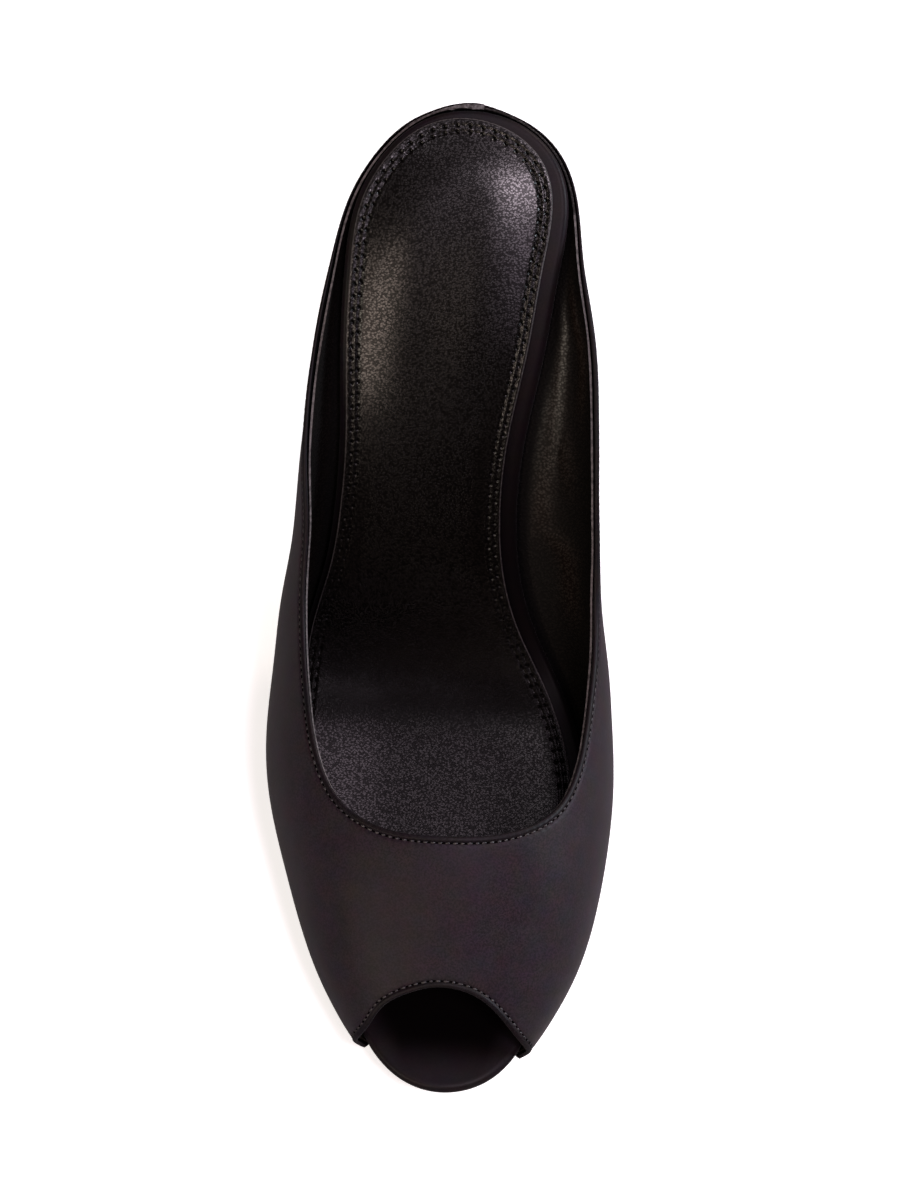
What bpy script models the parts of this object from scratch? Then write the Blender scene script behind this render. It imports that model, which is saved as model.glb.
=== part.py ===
"""Peep-toe mule for the right foot: a hollow upper, wrapped insole, sock, outsole, covered heel and top lift.

The toe points along -Y, the inner (medial) side of the foot is at +X, and the shoe stands on z = 0.
"""
import math

import bmesh
import bpy
import numpy as np

MM = 0.001

# Driving dimensions
SOLE_LENGTH = 245 * MM       # along the bottom, toe tip to heel back
BALL_WIDTH = 80 * MM         # inside the upper, across the ball
INSTEP_HEIGHT = 50 * MM      # floor to the top of the vamp at the throat
SEAT_RISE = 86 * MM          # how far the heel back stands above the tread

# Thicknesses and clearances
GAP = 0.3 * MM               # between pieces that meet
MARGIN_GAP = 0.45 * MM       # between the insole and the margin turned in under its bend
WALL = 1.3 * MM              # satin and lining of the upper together
INSOLE_THICK = 3.6 * MM
SOCK_THICK = 1.2 * MM
OUTSOLE_THICK = 2.4 * MM
LASTING_MARGIN = 8 * MM      # upper turned in under the insole
LIFT_THICK = 6 * MM          # top lift under the heel
UNDER_MARGIN = MARGIN_GAP + WALL + GAP   # from the insole down to what the margin rests on

# Mesh densities
PROFILE_STEPS = 1060         # along the bottom
HALVINGS = 60                # when working out the steepest slope
RIBS = 50                    # from the vamp's centre line to the heel back, on each side
RIB_STEPS = 11               # from the outer edge of a rib to the topline
SOLE_ROWS = 54               # from toe tip to heel back
SHORT_ROWS = 46              # of the sock and the outsole, which are shorter
SOLE_STEPS = 6               # across the sole
CURVE_STEPS = 400            # along an edge, before the ribs are spaced out on it

LATERAL = -1
MEDIAL = 1


def table(columns, *rows):
    """A short table as one array for each named column."""
    return dict(zip(columns.split(), np.array(rows, dtype=float).T))


# Slope of the bottom, as a share of its steepest slope; the zero rows are the flat tread under the ball
PITCH = table(
    "along slope",
    (-0.03, -0.18),
    (0.10, -0.15),
    (0.19, -0.05),
    (0.24, 0.00),
    (0.34, 0.00),
    (0.39, 0.18),
    (0.44, 0.58),
    (0.49, 0.88),
    (0.55, 1.00),
    (0.63, 0.97),
    (0.73, 0.84),
    (0.83, 0.64),
    (0.92, 0.46),
    (1.03, 0.36),
)

# Insole pattern laid flat: distance from the shoe's axis to each edge, in ball widths
OUTLINE = table(
    "along lateral medial",
    (0.000, -0.017, 0.017),
    (0.012, 0.110, 0.146),
    (0.038, 0.193, 0.226),
    (0.075, 0.255, 0.284),
    (0.125, 0.321, 0.343),
    (0.190, 0.391, 0.394),
    (0.265, 0.448, 0.418),
    (0.335, 0.470, 0.398),
    (0.400, 0.462, 0.332),
    (0.460, 0.440, 0.244),
    (0.530, 0.392, 0.186),
    (0.600, 0.365, 0.172),
    (0.680, 0.355, 0.189),
    (0.770, 0.360, 0.236),
    (0.850, 0.354, 0.270),
    (0.915, 0.322, 0.289),
    (0.960, 0.245, 0.244),
    (0.988, 0.148, 0.147),
    (1.000, 0.004, -0.004),
)

# Cross-sections of the last: how far its widest point stands out from the insole's edge, in ball
# widths, and how high that point and the ridge stand above the insole, in instep heights
LAST = table(
    "along lateral_out lateral_up medial_out medial_up ridge_up",
    (0.00, 0.010, 0.12, 0.010, 0.12, 0.22),
    (0.05, 0.022, 0.14, 0.022, 0.14, 0.40),
    (0.10, 0.039, 0.18, 0.039, 0.18, 0.56),
    (0.20, 0.042, 0.24, 0.042, 0.24, 0.84),
    (0.30, 0.052, 0.27, 0.052, 0.28, 0.97),
    (0.36, 0.052, 0.28, 0.075, 0.34, 0.99),
    (0.43, 0.052, 0.29, 0.138, 0.44, 0.98),
    (0.50, 0.069, 0.30, 0.198, 0.50, 0.95),
    (0.58, 0.085, 0.30, 0.216, 0.48, 0.92),
    (0.66, 0.082, 0.27, 0.198, 0.40, 0.88),
    (0.75, 0.057, 0.21, 0.142, 0.28, 0.84),
    (0.83, 0.027, 0.14, 0.074, 0.18, 0.80),
    (0.90, 0.010, 0.09, 0.020, 0.10, 0.78),
    (1.00, 0.007, 0.08, 0.007, 0.08, 0.76),
)

# Edges cut in the last's surface; girth is 0 at the insole's edge, 1 at the widest point, 2 on the ridge
PEEP = table(
    "girth lateral_along medial_along",
    (2.00, 0.0859, 0.0859),
    (1.81, 0.0808, 0.0807),
    (1.60, 0.0695, 0.0645),
    (1.42, 0.0557, 0.0515),
    (1.22, 0.0485, 0.0440),
    (0.80, 0.0470, 0.0420),
    (0.00, 0.0460, 0.0400),
)
TOPLINE = table(
    "along lateral_girth medial_girth",
    (0.214, 2.00, 2.00),
    (0.219, 1.79, 1.78),
    (0.250, 1.57, 1.53),
    (0.288, 1.49, 1.43),
    (0.352, 1.43, 1.34),
    (0.400, 1.38, 1.27),
    (0.475, 1.32, 1.14),
    (0.560, 1.24, 1.06),
    (0.660, 1.10, 1.00),
    (0.760, 0.98, 0.95),
    (0.850, 0.88, 0.88),
    (0.930, 0.66, 0.66),
    (0.975, 0.62, 0.62),
    (1.000, 0.84, 0.84),
)

# Where each rib of the upper starts and ends: outer edge 0 to 1 runs down the peep arch and 1 to 2 along
# the insole's edge, and topline 0 to 1 runs from the throat's middle to the heel back
RIB_ENDS = table(
    "rib outer_edge topline",
    (0.00, 0.00, 0.00),
    (0.15, 1.00, 0.10),
    (0.38, 1.30, 0.26),
    (1.00, 2.00, 1.00),
)
GIRTH_REACH = 0.16           # length of one unit of girth, in sole lengths
WALL_STRAIGHTNESS = 0.25     # how much of the lower wall is straight, the rest being an elliptic curve
FAN_START = 0.70             # where the upper's ribs begin to fan round the heel
FAN_END = 0.86


def monotone(positions, values, at):
    """Smooth curve through the rows that never overshoots them."""
    steps = np.diff(positions)
    rises = np.diff(values) / steps
    slopes = np.zeros(len(values))
    slopes[0] = rises[0]
    slopes[-1] = rises[-1]
    for row in range(1, len(values) - 1):
        before = rises[row - 1]
        after = rises[row]
        if before * after > 0:
            slopes[row] = 2 * before * after / (before + after)
    row = np.clip(np.searchsorted(positions, at) - 1, 0, len(steps) - 1)
    share = (at - positions[row]) / steps[row]
    start = values[row] + slopes[row] * steps[row] * share * (1 - share) ** 2
    rise = (values[row + 1] - values[row]) * share ** 2 * (3 - 2 * share)
    return start + rise - slopes[row + 1] * steps[row] * share ** 2 * (1 - share)


def spline(positions, values, at):
    """Natural cubic spline through the rows of values, read at the given positions."""
    positions = np.asarray(positions, dtype=float)
    values = np.asarray(values, dtype=float)
    steps = np.diff(positions)
    count = len(positions)
    system = np.eye(count)
    right = np.zeros_like(values)
    for row in range(1, count - 1):
        system[row, row - 1:row + 2] = steps[row - 1], 2 * (steps[row - 1] + steps[row]), steps[row]
        rise_after = (values[row + 1] - values[row]) / steps[row]
        rise_before = (values[row] - values[row - 1]) / steps[row - 1]
        right[row] = 6 * (rise_after - rise_before)
    bends = np.linalg.solve(system, right)
    at = np.asarray(at, dtype=float)
    row = np.clip(np.searchsorted(positions, at) - 1, 0, count - 2)
    step = steps[row]
    left = (positions[row + 1] - at) / step
    share = (at - positions[row]) / step
    if values.ndim > 1:
        step = step[..., None]
        left = left[..., None]
        share = share[..., None]
    curve = (left ** 3 - left) * bends[row] + (share ** 3 - share) * bends[row + 1]
    return left * values[row] + share * values[row + 1] + curve * step ** 2 / 6


def chords(points):
    """Running length along a row of points."""
    lengths = np.linalg.norm(np.diff(points, axis=0), axis=1)
    return np.concatenate([[0.0], np.cumsum(lengths)])


def bottom_profile():
    """Side view of the insole's underside as arrays of along, y, z and slope, standing clear of the floor."""
    along = np.linspace(PITCH["along"][0], PITCH["along"][-1], PROFILE_STEPS + 1)
    share = monotone(PITCH["along"], PITCH["slope"], along)
    step = SOLE_LENGTH * (along[1] - along[0])
    low = 0.0
    high = math.pi / 2
    for _ in range(HALVINGS):
        steepest = (low + high) / 2
        slope = share * steepest
        middle = (slope[1:] + slope[:-1]) / 2
        z = np.concatenate([[0.0], np.cumsum(np.sin(middle) * step)])
        if np.interp(1.0, along, z) - z.min() < SEAT_RISE:
            low = steepest
        else:
            high = steepest
    y = np.concatenate([[0.0], np.cumsum(np.cos(middle) * step)])
    y = y - np.interp(0.0, along, y)
    return along, y, z - z.min() + OUTSOLE_THICK + UNDER_MARGIN, slope


PROFILE = bottom_profile()


def bend(x, along, lift):
    """Points of the flat pattern, bent to the bottom's profile and lifted square to it."""
    table_along, table_y, table_z, table_slope = PROFILE
    slope = np.interp(along, table_along, table_slope)
    y = np.interp(along, table_along, table_y) - np.sin(slope) * lift
    z = np.interp(along, table_along, table_z) + np.cos(slope) * lift
    return np.stack(np.broadcast_arrays(x, y, z), axis=-1)


def outline_knots():
    """Running position of each row of the outline, 0 at the toe tip and 1 at the heel back."""
    lateral = np.stack([OUTLINE["lateral"] * BALL_WIDTH, OUTLINE["along"] * SOLE_LENGTH], axis=1)
    medial = np.stack([OUTLINE["medial"] * BALL_WIDTH, OUTLINE["along"] * SOLE_LENGTH], axis=1)
    running = (chords(lateral) + chords(medial)) / 2
    return running / running[-1]


KNOTS = outline_knots()
WRAP = 4                     # rows borrowed from the other side, so the outline is smooth at both ends
NUDGE = 1e-4                 # step to either side when taking the outline's direction


def outline(side, place, inset=0.0):
    """Flat pattern points (x, along) on one side of the insole, moved inwards by the inset."""
    near = OUTLINE["medial"] if side == MEDIAL else -OUTLINE["lateral"]
    far = -OUTLINE["lateral"] if side == MEDIAL else OUTLINE["medial"]
    rows = np.stack([near * BALL_WIDTH, OUTLINE["along"] * SOLE_LENGTH], axis=1)
    over = np.stack([far * BALL_WIDTH, OUTLINE["along"] * SOLE_LENGTH], axis=1)
    knots = np.concatenate([-KNOTS[WRAP:0:-1], KNOTS, 2 - KNOTS[-2:-2 - WRAP:-1]])
    points = np.concatenate([over[WRAP:0:-1], rows, over[-2:-2 - WRAP:-1]])
    place = np.asarray(place, dtype=float)
    point = spline(knots, points, place)
    ahead = spline(knots, points, place + NUDGE) - spline(knots, points, place - NUDGE)
    ahead = ahead / np.linalg.norm(ahead, axis=-1, keepdims=True)
    inward = np.stack([-ahead[..., 1], ahead[..., 0]], axis=-1) * side
    inset = np.asarray(inset, dtype=float)[..., None]
    point = point + inward * inset
    return point[..., 0], point[..., 1] / SOLE_LENGTH, -inward


def place_of(along):
    """Outline position of a station given as a share of the length."""
    return np.interp(along, OUTLINE["along"], KNOTS)


def last_column(name, along):
    """One column of the last's table, smoothed between its rows."""
    return spline(LAST["along"], LAST[name], along)


def last_point(side, place, girth):
    """Points on the last's surface, given by outline position and girth."""
    place, girth = np.broadcast_arrays(np.asarray(place, dtype=float), np.asarray(girth, dtype=float))
    name = "medial" if side == MEDIAL else "lateral"
    x, along, outward = outline(side, place)
    foot = bend(x, along, -MARGIN_GAP)
    fan = np.clip((along - FAN_START) / (FAN_END - FAN_START), 0, 1)
    fan = (fan ** 2 * (3 - 2 * fan))[..., None]
    direction = (1 - fan) * np.array([side, 0.0]) + fan * outward
    direction = direction / np.linalg.norm(direction, axis=-1, keepdims=True)
    out = last_column(name + "_out", along) * BALL_WIDTH
    up = last_column(name + "_up", along) * INSTEP_HEIGHT

    lower = np.clip(girth, 0, 1)
    turn = lower * math.pi / 2
    reach = (1 - WALL_STRAIGHTNESS) * np.sin(turn) + WALL_STRAIGHTNESS * lower
    rise = (1 - WALL_STRAIGHTNESS) * (1 - np.cos(turn)) + WALL_STRAIGHTNESS * lower
    wall = foot.copy()
    wall[..., 0] += direction[..., 0] * out * reach
    wall[..., 1] += direction[..., 1] * out * reach
    wall[..., 2] += up * rise

    _, other_along, _ = outline(-side, place)
    ridge_along = (along + other_along) / 2
    ridge = bend(np.zeros_like(x), ridge_along, 0.0)
    ridge[..., 2] += last_column("ridge_up", ridge_along) * INSTEP_HEIGHT
    turn = (np.clip(girth, 1, 2) - 1) * math.pi / 2
    fall = np.cos(turn)[..., None]
    climb = np.sin(turn)
    crown = ridge + (wall - ridge) * fall
    crown[..., 2] = wall[..., 2] + (ridge[..., 2] - wall[..., 2]) * climb
    return np.where((girth > 1)[..., None], crown, wall)


def edge_curve(along, girth, at_ridge, at_back, count):
    """Smooth curve of (outline position, girth) through a table's rows, square to the ridge or heel back."""
    rows = np.stack([place_of(along), girth], axis=1)
    if at_ridge:
        rows = np.concatenate([rows[2:0:-1] * (1, -1) + (0, 4), rows])
    if at_back:
        rows = np.concatenate([rows, rows[-2:-4:-1] * (-1, 1) + (2, 0)])
    running = chords(rows * (1, GIRTH_REACH))
    first = 2 if at_ridge else 0
    last = -3 if at_back else -1
    return spline(running, rows, np.linspace(running[first], running[last], count))


def even_steps(side, curve):
    """Share of the real length along a curve of (outline position, girth)."""
    running = chords(last_point(side, curve[:, 0], curve[:, 1]))
    return running / running[-1]


def read_curve(shares, curve, at):
    """Points of a curve at the given shares of its length."""
    return np.stack([np.interp(at, shares, curve[:, column]) for column in (0, 1)], axis=-1)


def rib_ends(side):
    """Start and end of every rib on one side, as (outline position, girth)."""
    name = "medial" if side == MEDIAL else "lateral"
    arch = edge_curve(PEEP[name + "_along"], PEEP["girth"], True, False, CURVE_STEPS)
    arch[-1, 1] = 0.0
    topline = edge_curve(TOPLINE["along"], TOPLINE[name + "_girth"], True, True, CURVE_STEPS)
    feather = np.stack([np.linspace(arch[-1, 0], 1.0, CURVE_STEPS), np.zeros(CURVE_STEPS)], axis=1)
    rib = np.linspace(0, 1, RIBS + 1)
    outer = monotone(RIB_ENDS["rib"], RIB_ENDS["outer_edge"], rib)
    upper = monotone(RIB_ENDS["rib"], RIB_ENDS["topline"], rib)
    turn_in = int(np.argmin(np.abs(outer - 1.0)))
    outer[turn_in] = 1.0
    on_arch = read_curve(even_steps(side, arch), arch, np.clip(outer, 0, 1))
    on_feather = read_curve(even_steps(side, feather), feather, np.clip(outer - 1, 0, 1))
    starts = np.where((outer > 1.0)[:, None], on_feather, on_arch)
    ends = read_curve(even_steps(side, topline), topline, upper)
    return starts, ends, turn_in


SHARP_ANGLE = math.radians(40)


def material(name, colour, roughness, metallic=0.0):
    """A plain finish of one colour."""
    finish = bpy.data.materials.new(name)
    finish.use_nodes = True
    shader = finish.node_tree.nodes["Principled BSDF"]
    shader.inputs["Base Color"].default_value = (*colour, 1.0)
    shader.inputs["Roughness"].default_value = roughness
    shader.inputs["Metallic"].default_value = metallic
    return finish


def add_piece(name, mesh_work, finish, parent):
    """Turns a finished bmesh into a named, smooth-shaded object."""
    bmesh.ops.recalc_face_normals(mesh_work, faces=mesh_work.faces)
    mesh = bpy.data.meshes.new(name)
    mesh_work.to_mesh(mesh)
    mesh_work.free()
    mesh.shade_smooth()
    mesh.set_sharp_from_angle(angle=SHARP_ANGLE)
    mesh.materials.append(finish)
    piece = bpy.data.objects.new(name, mesh)
    bpy.context.collection.objects.link(piece)
    piece.parent = parent
    return piece


def add_strip(work, lower, upper, closed=False):
    """Joins two rows of vertices with faces, leaving out the sides that have shrunk to a point."""
    count = len(lower)
    for place in range(count if closed else count - 1):
        following = (place + 1) % count
        corners = [lower[place], lower[following], upper[following], upper[place]]
        corners = list(dict.fromkeys(corners))
        if len(corners) > 2:
            work.faces.new(corners)


def make_upper(finish, parent):
    """The last's surface between the peep arch, the insole's edge and the topline, thickened outwards."""
    work = bmesh.new()
    ribs = []
    margins = []
    for side in (LATERAL, MEDIAL):
        starts, ends, turn_in = rib_ends(side)
        shares = np.linspace(0, 1, RIB_STEPS + 1)[None, :, None]
        grid = starts[:, None, :] * (1 - shares) + ends[:, None, :] * shares
        points = last_point(side, grid[..., 0], grid[..., 1])
        x, along, _ = outline(side, starts[:, 0], LASTING_MARGIN)
        margin = bend(x, along, -MARGIN_GAP)
        side_ribs = [[work.verts.new(point) for point in row] for row in points]
        side_margin = [work.verts.new(point) for point in margin[turn_in:]]
        ribs.append(side_ribs)
        margins.append((turn_in, side_margin))
    lateral, medial = ribs
    for place in (0, -1):
        for index, vert in enumerate(medial[place]):
            work.verts.remove(vert)
            medial[place][index] = lateral[place][index]
    back_margin = margins[1][1].pop()
    work.verts.remove(back_margin)
    margins[1][1].append(margins[0][1][-1])
    for side_ribs, (turn_in, side_margin) in zip(ribs, margins):
        for rib in range(RIBS):
            add_strip(work, side_ribs[rib], side_ribs[rib + 1])
        feather = [row[0] for row in side_ribs[turn_in:]]
        add_strip(work, side_margin, feather)
    piece = add_piece("upper", work, finish, parent)
    wall = piece.modifiers.new("wall", "SOLIDIFY")
    wall.thickness = WALL
    wall.offset = 1.0
    wall.use_even_offset = True
    wall.use_quality_normals = True


def pattern_grid(first, last, rows, lateral_inset=0.0, medial_inset=0.0):
    """Flat pattern points (x, along) in rows across the sole, between two outline positions."""
    place = np.linspace(first, last, rows + 1)
    lateral_x, lateral_along, _ = outline(LATERAL, place, lateral_inset)
    medial_x, medial_along, _ = outline(MEDIAL, place, medial_inset)
    share = np.linspace(0, 1, SOLE_STEPS + 1)[None, :]
    x = lateral_x[:, None] * (1 - share) + medial_x[:, None] * share
    along = lateral_along[:, None] * (1 - share) + medial_along[:, None] * share
    return x, along


def layer(work, x, along, lift):
    """One bent layer of vertices, with its end rows merged where they have shrunk to a point."""
    points = bend(x, along, lift)
    rows = []
    for row in points:
        if np.linalg.norm(row[0] - row[-1]) < GAP:
            rows.append([work.verts.new(row.mean(axis=0))] * len(row))
        else:
            rows.append([work.verts.new(point) for point in row])
    return rows


def rim_loop(rows):
    """The vertices round a layer's edge, in order, each once."""
    loop = rows[0] + [row[-1] for row in rows[1:]] + rows[-1][::-1] + [row[0] for row in rows[-1:0:-1]]
    return list(dict.fromkeys(loop))


def add_slab(work, x, along, low, high):
    """A closed sheet between two lifts above the insole's underside."""
    bottom = layer(work, x, along, low)
    top = layer(work, x, along, high)
    for sheet in (bottom, top):
        for near, far in zip(sheet, sheet[1:]):
            add_strip(work, near, far)
    add_strip(work, rim_loop(bottom), rim_loop(top), closed=True)


RIM_ROUNDING = 1.3 * MM


def make_insole(finish, parent):
    """The wrapped board, with a rounded rim all round."""
    work = bmesh.new()
    x, along = pattern_grid(0.0, 1.0, SOLE_ROWS)
    add_slab(work, x, along, 0.0, INSOLE_THICK)
    piece = add_piece("insole", work, finish, parent)
    rim = piece.modifiers.new("rounded rim", "BEVEL")
    rim.width = RIM_ROUNDING
    rim.segments = 2
    rim.limit_method = "ANGLE"
    rim.angle_limit = SHARP_ANGLE


SOCK_FRONT = 0.16            # where the sock ends under the vamp, in sole lengths
SOCK_INSET_LATERAL = 1.4 * MM
SOCK_INSET_MEDIAL = 3.8 * MM
SOCK_INSET_BACK = 2.5 * MM
SOCK_TURN = 0.86             # outline position where the inset starts to change towards the back


def make_sock(finish, parent):
    """The leather sheet on the insole, set further in on the medial side and the heel back."""
    work = bmesh.new()
    first = float(place_of(SOCK_FRONT))
    place = np.linspace(first, 1.0, SHORT_ROWS + 1)
    at_back = np.clip((place - SOCK_TURN) / (1 - SOCK_TURN), 0, 1) ** 2
    lateral_inset = SOCK_INSET_LATERAL + (SOCK_INSET_BACK - SOCK_INSET_LATERAL) * at_back
    medial_inset = SOCK_INSET_MEDIAL + (SOCK_INSET_BACK - SOCK_INSET_MEDIAL) * at_back
    x, along = pattern_grid(first, 1.0, SHORT_ROWS, lateral_inset, medial_inset)
    low = INSOLE_THICK + GAP
    add_slab(work, x, along, low, low + SOCK_THICK)
    add_piece("sock", work, finish, parent)


OUTSOLE_INSET = 1.6 * MM
BREAST = 0.80                # where the outsole ends and the heel starts, in sole lengths
BREAST_GAP = 0.7 * MM        # along the slanting edges of the waist
TOE_STEP_START = 0.022       # the outsole is thicker under the open toe
TOE_STEP_END = 0.034


def make_outsole(finish, parent):
    """The thin sole, filling up to the insole under the open toe and ending at the heel breast."""
    work = bmesh.new()
    last = float(place_of(BREAST - BREAST_GAP / SOLE_LENGTH))
    x, along = pattern_grid(0.0, last, SHORT_ROWS, OUTSOLE_INSET, OUTSOLE_INSET)
    under_margin = np.clip((along - TOE_STEP_START) / (TOE_STEP_END - TOE_STEP_START), 0, 1)
    high = -GAP - (UNDER_MARGIN - GAP) * under_margin
    low = -UNDER_MARGIN - OUTSOLE_THICK
    add_slab(work, x, along, low, high)
    add_piece("outsole", work, finish, parent)


# The heel's cross-section on its way down, as shares of the seat's depth and width, with the back line
# moved forward in seat depths
HEEL = table(
    "down depth width forward",
    (0.00, 1.00, 1.00, 0.00),
    (0.06, 0.88, 0.93, 0.00),
    (0.14, 0.72, 0.80, 0.02),
    (0.25, 0.56, 0.61, 0.06),
    (0.40, 0.41, 0.42, 0.12),
    (0.58, 0.31, 0.30, 0.18),
    (0.78, 0.26, 0.25, 0.22),
    (1.00, 0.24, 0.23, 0.24),
)
HEEL_LEVELS = 14
LEVEL_CROWDING = 1.35        # sets the levels closer together under the seat
SEAT_ROWS = 12
SEAT_OVERHANG = 0.8 * MM     # the seat stands out as far as the upper's bend


def shrink(points, down, bottom):
    """Seat points carried down the heel to one level."""
    depth = spline(HEEL["down"], HEEL["depth"], down)
    width = spline(HEEL["down"], HEEL["width"], down)
    forward = spline(HEEL["down"], HEEL["forward"], down)
    back = points[:, 1].max()
    seat_depth = back - points[:, 1].min()
    middle = (points[:, 0].max() + points[:, 0].min()) / 2
    x = middle + (points[:, 0] - middle) * width
    y = back - forward * seat_depth - (back - points[:, 1]) * depth
    z = points[:, 2] * (1 - down) + bottom * down
    return np.stack([x, y, z], axis=-1)


def make_heel(finish, lift_finish, parent):
    """The covered heel, lofted from the seat down to the top lift, and the lift under it."""
    work = bmesh.new()
    x, along = pattern_grid(float(place_of(BREAST)), 1.0, SEAT_ROWS, -SEAT_OVERHANG, -SEAT_OVERHANG)
    seat = layer(work, x, along, -UNDER_MARGIN)
    for near, far in zip(seat, seat[1:]):
        add_strip(work, near, far)
    rim = rim_loop(seat)
    points = np.array([vert.co[:] for vert in rim])
    above = rim
    for down in np.linspace(0, 1, HEEL_LEVELS + 1)[1:] ** LEVEL_CROWDING:
        loop = [work.verts.new(point) for point in shrink(points, down, LIFT_THICK + GAP)]
        add_strip(work, above, loop, closed=True)
        above = loop
    work.faces.new(above)
    add_piece("heel", work, finish, parent)

    work = bmesh.new()
    tip = shrink(points, 1.0, 0.0)
    top = [work.verts.new((x, y, LIFT_THICK)) for x, y, _ in tip]
    floor = [work.verts.new((x, y, 0.0)) for x, y, _ in tip]
    add_strip(work, floor, top, closed=True)
    work.faces.new(top)
    work.faces.new(floor)
    add_piece("top_lift", work, lift_finish, parent)


def centre_on_floor(root, pieces):
    """Moves the whole shoe so that the middle of its box stands over the origin."""
    bpy.context.view_layer.update()
    graph = bpy.context.evaluated_depsgraph_get()
    corners = []
    for piece in pieces:
        corners.extend(piece.evaluated_get(graph).bound_box)
    corners = np.array([corner[:] for corner in corners])
    middle = (corners.min(axis=0) + corners.max(axis=0)) / 2
    root.location = (-middle[0], -middle[1], 0.0)


def main():
    """Builds the shoe."""
    for leftover in list(bpy.data.objects):
        bpy.data.objects.remove(leftover)
    root = bpy.data.objects.new("mule", None)
    bpy.context.collection.objects.link(root)
    satin = material("black satin", (0.010, 0.008, 0.011), 0.55)
    wrap = material("satin wrap", (0.012, 0.010, 0.012), 0.50)
    leather = material("grained leather", (0.011, 0.010, 0.010), 0.42)
    sole_leather = material("sole leather", (0.020, 0.017, 0.015), 0.45)
    cover = material("heel cover", (0.010, 0.008, 0.011), 0.55)
    rubber = material("lift rubber", (0.008, 0.008, 0.008), 0.60)
    make_upper(satin, root)
    make_insole(wrap, root)
    make_sock(leather, root)
    make_outsole(sole_leather, root)
    make_heel(cover, rubber, root)
    centre_on_floor(root, list(root.children))


main()
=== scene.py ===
# %% [markdown]
# # A peep-toe mule in black satin
# This lesson dresses one finished shoe. The pieces have already been worked out as plain solids, which are
# loaded as a fixed frame, and every cell below adds the surface that a shoemaker would see: folded satin, a
# leather lining, a grained sock with stitch holes, and the covered heel. All sizes are in metres, the toe
# points along -Y, and the inner side of the foot is at +X.

# %% The frame
import math

import bmesh
import bpy
import numpy as np
from mathutils import Matrix, Vector, noise
from mathutils.kdtree import KDTree


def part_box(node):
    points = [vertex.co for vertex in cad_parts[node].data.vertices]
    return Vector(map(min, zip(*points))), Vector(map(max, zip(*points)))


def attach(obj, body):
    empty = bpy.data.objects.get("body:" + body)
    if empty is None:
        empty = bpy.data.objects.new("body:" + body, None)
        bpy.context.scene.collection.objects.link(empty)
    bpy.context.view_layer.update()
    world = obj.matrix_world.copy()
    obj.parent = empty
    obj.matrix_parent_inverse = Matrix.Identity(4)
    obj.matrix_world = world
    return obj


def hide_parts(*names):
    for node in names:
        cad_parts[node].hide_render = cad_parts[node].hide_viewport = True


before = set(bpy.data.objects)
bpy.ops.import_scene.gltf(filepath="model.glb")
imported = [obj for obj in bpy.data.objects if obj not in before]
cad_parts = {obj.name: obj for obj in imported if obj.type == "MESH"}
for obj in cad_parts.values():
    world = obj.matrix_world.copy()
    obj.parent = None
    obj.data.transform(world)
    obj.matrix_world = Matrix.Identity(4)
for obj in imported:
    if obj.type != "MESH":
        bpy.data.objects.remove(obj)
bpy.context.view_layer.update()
print("frame nodes:", ", ".join(sorted(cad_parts)))

# %% [markdown]
# ## The last
# A shoe is built over a last, a solid foot shape. It could be sculpted, but a few short tables describe it
# better: the slope of the bottom, the outline of the insole laid flat, and the height and flare of the walls.
# The same tables shaped the solids of the frame, so pieces made from them fit without any adjusting.

# %% Driving sizes
MM = 0.001
SOLE_LENGTH = 245 * MM       # along the bottom, toe tip to heel back
BALL_WIDTH = 80 * MM
INSTEP_HEIGHT = 50 * MM
SEAT_RISE = 86 * MM          # how far the heel back stands above the tread
GAP = 0.3 * MM
MARGIN_GAP = 0.45 * MM       # between the insole and the margin turned in under it
WALL = 1.3 * MM              # satin and lining together
INSOLE_THICK = 3.6 * MM
SOCK_THICK = 1.2 * MM
OUTSOLE_THICK = 2.4 * MM
LASTING_MARGIN = 8 * MM
LIFT_THICK = 6 * MM
UNDER_MARGIN = MARGIN_GAP + WALL + GAP
LATERAL = -1
MEDIAL = 1


# %% Tables of the last
def table(columns, *rows):
    """A short table as one array for each named column."""
    return dict(zip(columns.split(), np.array(rows, dtype=float).T))


PITCH = table(
    "along slope",
    (-0.03, -0.18), (0.10, -0.15), (0.19, -0.05), (0.24, 0.00), (0.34, 0.00), (0.39, 0.18), (0.44, 0.58),
    (0.49, 0.88), (0.55, 1.00), (0.63, 0.97), (0.73, 0.84), (0.83, 0.64), (0.92, 0.46), (1.03, 0.36),
)
OUTLINE = table(
    "along lateral medial",
    (0.000, -0.017, 0.017), (0.012, 0.110, 0.146), (0.038, 0.193, 0.226), (0.075, 0.255, 0.284),
    (0.125, 0.321, 0.343), (0.190, 0.391, 0.394), (0.265, 0.448, 0.418), (0.335, 0.470, 0.398),
    (0.400, 0.462, 0.332), (0.460, 0.440, 0.244), (0.530, 0.392, 0.186), (0.600, 0.365, 0.172),
    (0.680, 0.355, 0.189), (0.770, 0.360, 0.236), (0.850, 0.354, 0.270), (0.915, 0.322, 0.289),
    (0.960, 0.245, 0.244), (0.988, 0.148, 0.147), (1.000, 0.004, -0.004),
)
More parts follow.
